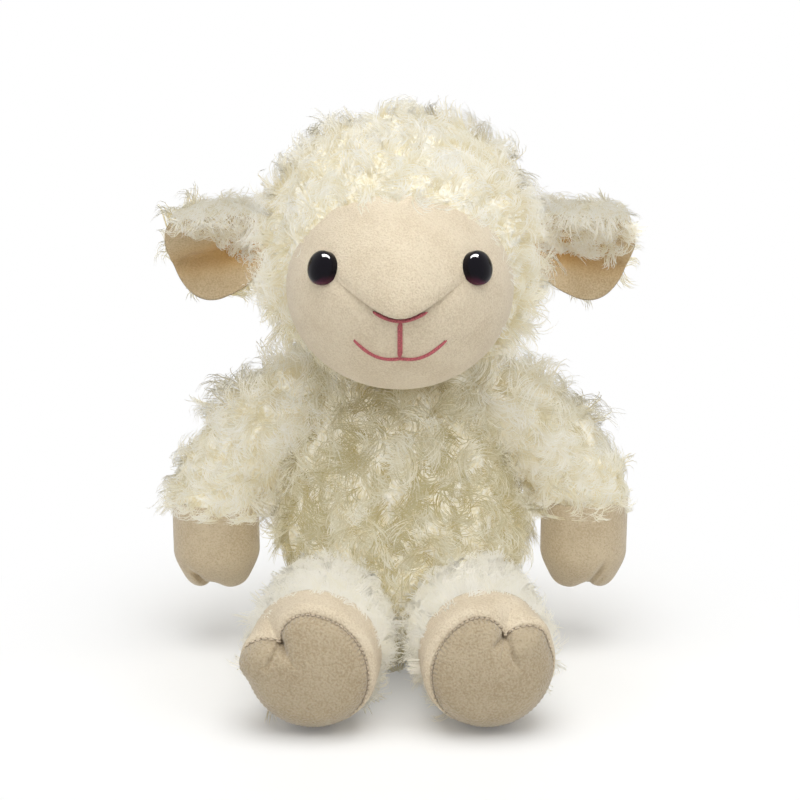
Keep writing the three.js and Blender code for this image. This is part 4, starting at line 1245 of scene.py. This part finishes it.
class LAMB_OT_eyes(bpy.types.Operator):
    """Polished plastic eyes"""

    bl_idname = "lamb.eyes"
    bl_label = "Eyes"

    def execute(self, context):
        made, size = materials(), sizes()
        radius, wall = size.eye_diameter / 2, 0.001
        up = np.linspace(0, np.pi / 2 - 0.03, 28)
        half = np.concatenate([radius * np.array([0.3, 0.7, 0.93, 1.0]), radius * np.cos(up)])
        dome = wall + (size.eye_dome - wall) * np.sin(up)
        high = np.concatenate([[-0.0034, -0.0034, -0.0033, -0.0026], dome])
        turn = around(56)
        for name, side in SIDES.items():
            spot, look = on_face(np.array(side * size.eye_spacing / 2), np.array(HEAD_CENTRE[2] + 0.002))
            look = unit(look + [side * 0.3, 0, 0])
            across = unit(np.cross([0, 0, 1], look))
            tall = np.cross(look, across)
            ring = np.cos(turn)[:, None] * across + np.sin(turn)[:, None] * tall
            grid = spot + half[:, None, None] * ring + high[:, None, None] * look
            eye = closed_skin(f"eye_gloss_{name}", grid, made["eye"])
            # painted reflection: a reddish tint on the lower outer rim of each eye
            low = smooth(0.2, 0.9, -(grid - spot)[..., 2] / radius)
            set_painted_light_mask(eye, low * smooth(0.75, 0.95, half / radius)[:, None])
            settle(eye, "head", "eye", f"eye_{name}")
        return {"FINISHED"}


class LAMB_OT_ears(bpy.types.Operator):
    """Cupped ears with plush linings and woolly backs"""

    bl_idname = "lamb.ears"
    bl_label = "Ears"

    def execute(self, context):
        made = materials()
        wool = made["ear_wool"]
        gap = np.array([0, 0.0001, 0])
        for seed, (name, side) in enumerate(SIDES.items()):
            rng = np.random.default_rng(20 + seed)
            body, root = f"ear_{name}", PIVOT[f"ear_{name}_flop"]
            front, seam, back = (ear_grid(side, depth) for depth in (-0.0019, 0, 0.0023))
            rings = np.concatenate([front, seam[-2::-1]]) - gap
            lining = closed_skin(f"ear_lining_plush_{name}", rings, made["ear_plush"])
            # painted shade in the lining's fold, strongest near the root
            set_painted_light_mask(lining, np.concatenate([painted_fold_mask(), painted_fold_mask()[-2::-1]]))
            settle(lining, body, "minky", f"ear_lining_{name}")
            rings = np.concatenate([back, seam[-2::-1]]) + gap
            backing = closed_skin(f"ear_backing_{name}", rings, made["backing"])
            settle(backing, body, "wool", f"ear_wool_{name}")

            place, normal = scatter(back[:-3], True, LOCK_COUNT["ear_back"], rng)
            way = ways([-side * 0.4, 0, 0.7], place, 0, 0.5, rng)
            behind = locks(place, normal, way, clumps(place, 8 + seed))
            grow(f"ear_wool_locks_{name}", behind, EAR_WOOL, wool, rng, body)

            place, normal = scatter(front[:-2], True, LOCK_COUNT["ear_front"], rng)
            out, _, up = ((place - root) * [side, 1, 1]).T
            slope, drop = EAR_EDGE[name]
            over = up > slope * out - drop + 0.0015 * rng.normal(size=len(place))
            place, normal = place[over], unit(-normal[over])
            way = ways([side * 0.5, 0, -0.4], place, 0, 0.6, rng)
            # painted light: the wool over an ear's lining drawn paler
            cover = locks(place, normal, way, 0.5, painted_light_level=0.6)
            grow(f"ear_front_{name}", cover, EAR_FRONT, wool, rng, body)

            place, normal = scatter(back[-8:, 16:50], False, LOCK_COUNT["ear_fringe"], rng)
            way = ways([-side * 0.2, -1, -0.3], place, 0, 0.7, rng)
            reach = np.abs(place[:, 0] - root[0]) / sizes().ear_length
            # painted light: an ear's fringe drawn paler
            fringe = locks(place, normal, way, 0.6, 1.7 - 1.5 * reach, 0.5)
            grow(f"ear_fringe_{name}", fringe, EAR_FRINGE, wool, rng, body)
        return {"FINISHED"}


class LAMB_OT_arms(bpy.types.Operator):
    """Stuffed arms in curly wool, with cloven plush hooves"""

    bl_idname = "lamb.arms"
    bl_label = "Arms"

    def execute(self, context):
        made = materials()
        for count, (name, side) in enumerate(SIDES.items()):
            rng = np.random.default_rng(30 + count)
            body, seed = f"arm_{name}", 3 + count
            grid = lumpy(arm_grid(side, sizes().limb_pile), 0.0014, seed)
            solids = (f"arm_wool_{name}", f"arm_stuffing_{name}")
            stuffed(f"arm_backing_{name}", grid, made["backing"], FILL["arm"], body, "wool", *solids)
            place, normal = scatter(grid[4:], True, LOCK_COUNT["arm"], rng)
            way = ways([side * 0.3, 0, -0.6], place, 0.6, 1.0, rng)
            shoulder = 1.1 * smooth(0.100, 0.125, place[:, 2])
            inner = 0.7 * smooth(0.3, 0.8, -side * normal[:, 0])
            grown = locks(place, normal, way, clumps(place, seed), 1 + np.maximum(shoulder, inner))
            hem = HOOF_TOP - 0.0008
            grow(f"arm_wool_locks_{name}", grown, ARM_WOOL, made["wool"], rng, body, hem=hem)
            cloth, solid = made["hoof_plush"], f"arm_hoof_{name}"
            stuffed(f"hoof_plush_{name}", hoof_grid(side), cloth, FILL["hoof"], body, "minky", solid)
        return {"FINISHED"}


class LAMB_OT_legs(bpy.types.Operator):
    """Stuffed legs in clipped wool, with plush feet"""

    bl_idname = "lamb.legs"
    bl_label = "Legs"

    def execute(self, context):
        made, fill = materials(), FILL["leg"]
        for count, (name, side) in enumerate(SIDES.items()):
            rng = np.random.default_rng(40 + count)
            body, axis = f"leg_{name}", leg_axis(side)
            grid = leg_grid(side, sizes().leg_pile)
            solids = (f"leg_wool_{name}", f"leg_stuffing_{name}")
            stuffed(f"leg_backing_{name}", grid, made["leg_backing"], fill, body, "leg_wool", *solids)
            place, normal = scatter(grid[5:], True, LOCK_COUNT["leg"], rng)
            ankle = smooth(0.030, 0.044, (place - PIVOT[f"leg_{name}_swing"]) @ axis)
            lead = (0.5 - 1.5 * ankle)[:, None] * axis  # turned back from the foot's plush
            way = ways(lead, place, 0.4, 0.8, rng)
            # painted light: the leg wool drawn paler, lit from above
            grown = locks(place, normal, way, 0.6 * clumps(place, 5 + count), 1 + 0.5 * ankle, 0.55)
            grow(f"leg_wool_locks_{name}", grown, LEG_WOOL, made["leg_wool"], rng, body, "leg_wool")
            for part, grid in (("band", band_grid(side)), ("sole", sole_grid(side))):
                cloth, solid = made[f"{part}_plush"], f"foot_{part}_{name}"
                stuffed(f"foot_{part}_plush_{name}", grid, cloth, fill, body, "minky", solid)
            stitches = tubes(f"sole_stitches_{name}", sole_stitches(side), 0.0004, made["seam_thread"])
            settle(stitches, body, "minky")
        return {"FINISHED"}


class LAMB_OT_tail(bpy.types.Operator):
    """Small woolly tail"""

    bl_idname = "lamb.tail"
    bl_label = "Tail"

    def execute(self, context):
        made, pile = materials(), 0.003
        rng = np.random.default_rng(50)
        grid = tail_grid(pile)
        stuffed("tail_backing", grid, made["backing"], FILL["tail"], "tail", "wool", "tail")
        place, normal = scatter(grid[3:], True, LOCK_COUNT["tail"], rng)
        way = ways([0, 0.3, -0.9], place, 0, 0.6, rng)
        grow("tail_wool", locks(place, normal, way, clumps(place, 7)), ARM_WOOL, made["wool"], rng, "tail")
        return {"FINISHED"}


class LAMB_OT_stage(bpy.types.Operator):
    """White floor, soft studio light and the camera"""

    bl_idname = "lamb.stage"
    bl_label = "Stage"

    def execute(self, context):
        scene = context.scene
        scene.view_settings.view_transform = "Standard"
        floor_sheet()
        white_world()
        soft_light("key_light", (0.05, -0.42, 1.20), (0, 0, 0.12), (1.1, 1.1), 12.3)
        soft_light("front_light", (0, -1.3, 0.45), (0, 0, 0.12), (1.0, 0.6), 1.0)
        for name, side in SIDES.items():
            soft_light(f"side_light_{name}", (side * 1.0, -0.55, 0.75), (0, 0, 0.15), (0.9, 0.9), 4.5)
        soft_light("back_light", (0, 1.15, 0.45), (0, 0, 0.14), (1.2, 0.8), 8.0)
        shine = soft_light("catch_light", (0.05, 0.05, 1.35), (0.05, 0, 0.12), (1.4, 0.45), 200)
        shine.visible_glossy, shine.visible_diffuse = True, False
        camera = bpy.data.objects.new("camera", bpy.data.cameras.new("camera"))
        scene.collection.objects.link(camera)
        tilt, far = math.radians(14), 0.760
        target = np.array([0, AXIS[1] - 0.020, 0.1265])
        camera.location = target + far * np.array([0, -math.cos(tilt), math.sin(tilt)])
        camera.rotation_euler = (math.pi / 2 - tilt, 0, 0)
        camera.data.sensor_width = 36
        camera.data.lens = 73.9
        scene.camera = camera
        return {"FINISHED"}


def floor_sheet():
    """A round floor that keeps shadows near the lamb and turns plain white further out."""
    rows, cols, reach = 20, 96, 6
    turn = around(cols)
    out = np.linspace(0.02, 1, rows)[:, None] ** 2 * reach
    grid = np.stack([out * np.sin(turn), out * np.cos(turn), np.zeros((rows, cols))], -1)
    material, tree, shader = new_material("floor")
    shown = backdrop_rays(tree)
    bounced, seen = (0.70, 0.70, 0.69, 1), (*bpy.context.scene.lamb_colours.floor, 1)
    tree.feed(shader, {"Base Color": tree.mixed(shown, bounced, seen), "Roughness": 0.9})
    away = tree.add("VectorMath", {0: tree.add("TexCoord").outputs["Object"]}, operation="LENGTH")
    limits = {"From Min": 0.11, "From Max": 0.24, "To Min": 0.1}
    limits["Value"] = away.outputs["Value"]
    fade = tree.add("MapRange", limits, interpolation_type="SMOOTHSTEP")
    white = tree.add("Math", {0: fade.outputs["Result"], 1: shown}, operation="MULTIPLY")
    tree.finish(white.outputs[0], shader.outputs["BSDF"], tree.add("Emission").outputs["Emission"])
    points = np.vstack([grid.reshape(-1, 3), [[0, 0, 0]]])
    middle = fan(np.arange(cols), rows * cols)
    quads = grid_quads(rows, cols, True)
    mesh_piece("floor", points, quads[:, ::-1], middle[:, ::-1], material)


def backdrop_rays(tree):
    """One for rays that show the backdrop itself: the camera's, and those by gloss or through glass."""
    path = tree.add("LightPath")
    some = path.outputs["Is Camera Ray"]
    for kind in ("Is Glossy Ray", "Is Transmission Ray"):
        some = tree.add("Math", {0: some, 1: path.outputs[kind]}, operation="MAXIMUM").outputs[0]
    return some


def white_world():
    """A white backdrop, and an even soft light from all round."""
    world = bpy.data.worlds.new("studio")
    tree = Tree(world)
    light, white = tree.nodes["Background"], (1, 1, 1, 1)
    tree.feed(light, {"Color": white, "Strength": 0.14})
    shown = tree.add("Background", {"Color": white})
    tree.finish(backdrop_rays(tree), light.outputs["Background"], shown.outputs["Background"])
    bpy.context.scene.world = world


def soft_light(name, place, target, size, energy):
    """A soft box that looks at a target and doesn't show in gloss."""
    lamp = bpy.data.lights.new(name, "AREA")
    lamp.shape = "RECTANGLE"
    lamp.size, lamp.size_y = size
    lamp.energy = energy
    light = bpy.data.objects.new(name, lamp)
    bpy.context.scene.collection.objects.link(light)
    light.location = place
    light.visible_glossy = light.visible_camera = False
    x, y, z = np.array(target) - place
    light.rotation_euler = (math.atan2(math.hypot(x, y), -z), 0, math.atan2(-x, y))
    return light


class LAMB_PT_panel(bpy.types.Panel):
    """Sizes and colours of the lamb, and the steps that make it"""

    bl_idname = "LAMB_PT_panel"
    bl_label = "Plush Lamb"
    bl_space_type = "VIEW_3D"
    bl_region_type = "UI"
    bl_category = "Plush Lamb"

    def draw(self, context):
        for group in (context.scene.lamb_sizes, context.scene.lamb_colours):
            column = self.layout.column()
            for field in group.__annotations__:
                column.prop(group, field)
        for step in STEPS:
            self.layout.operator(step.bl_idname)


STEPS = (
    LAMB_OT_stage,
    LAMB_OT_torso,
    LAMB_OT_head,
    LAMB_OT_face,
    LAMB_OT_eyes,
    LAMB_OT_ears,
    LAMB_OT_arms,
    LAMB_OT_legs,
    LAMB_OT_tail,
)
CLASSES = (LambSizes, LambColours, *STEPS, LAMB_PT_panel)


def register():
    for entry in CLASSES:
        bpy.utils.register_class(entry)
    bpy.types.Scene.lamb_sizes = bpy.props.PointerProperty(type=LambSizes)
    bpy.types.Scene.lamb_colours = bpy.props.PointerProperty(type=LambColours)


def unregister():
    del bpy.types.Scene.lamb_colours
    del bpy.types.Scene.lamb_sizes
    for entry in reversed(CLASSES):
        bpy.utils.unregister_class(entry)


def main():
    register()
    bpy.ops.lamb.stage()
    bpy.ops.lamb.torso()
    bpy.ops.lamb.head()
    bpy.ops.lamb.face()
    bpy.ops.lamb.eyes()
    bpy.ops.lamb.ears()
    bpy.ops.lamb.arms()
    bpy.ops.lamb.legs()
    bpy.ops.lamb.tail()


if __name__ == "__main__":
    main()
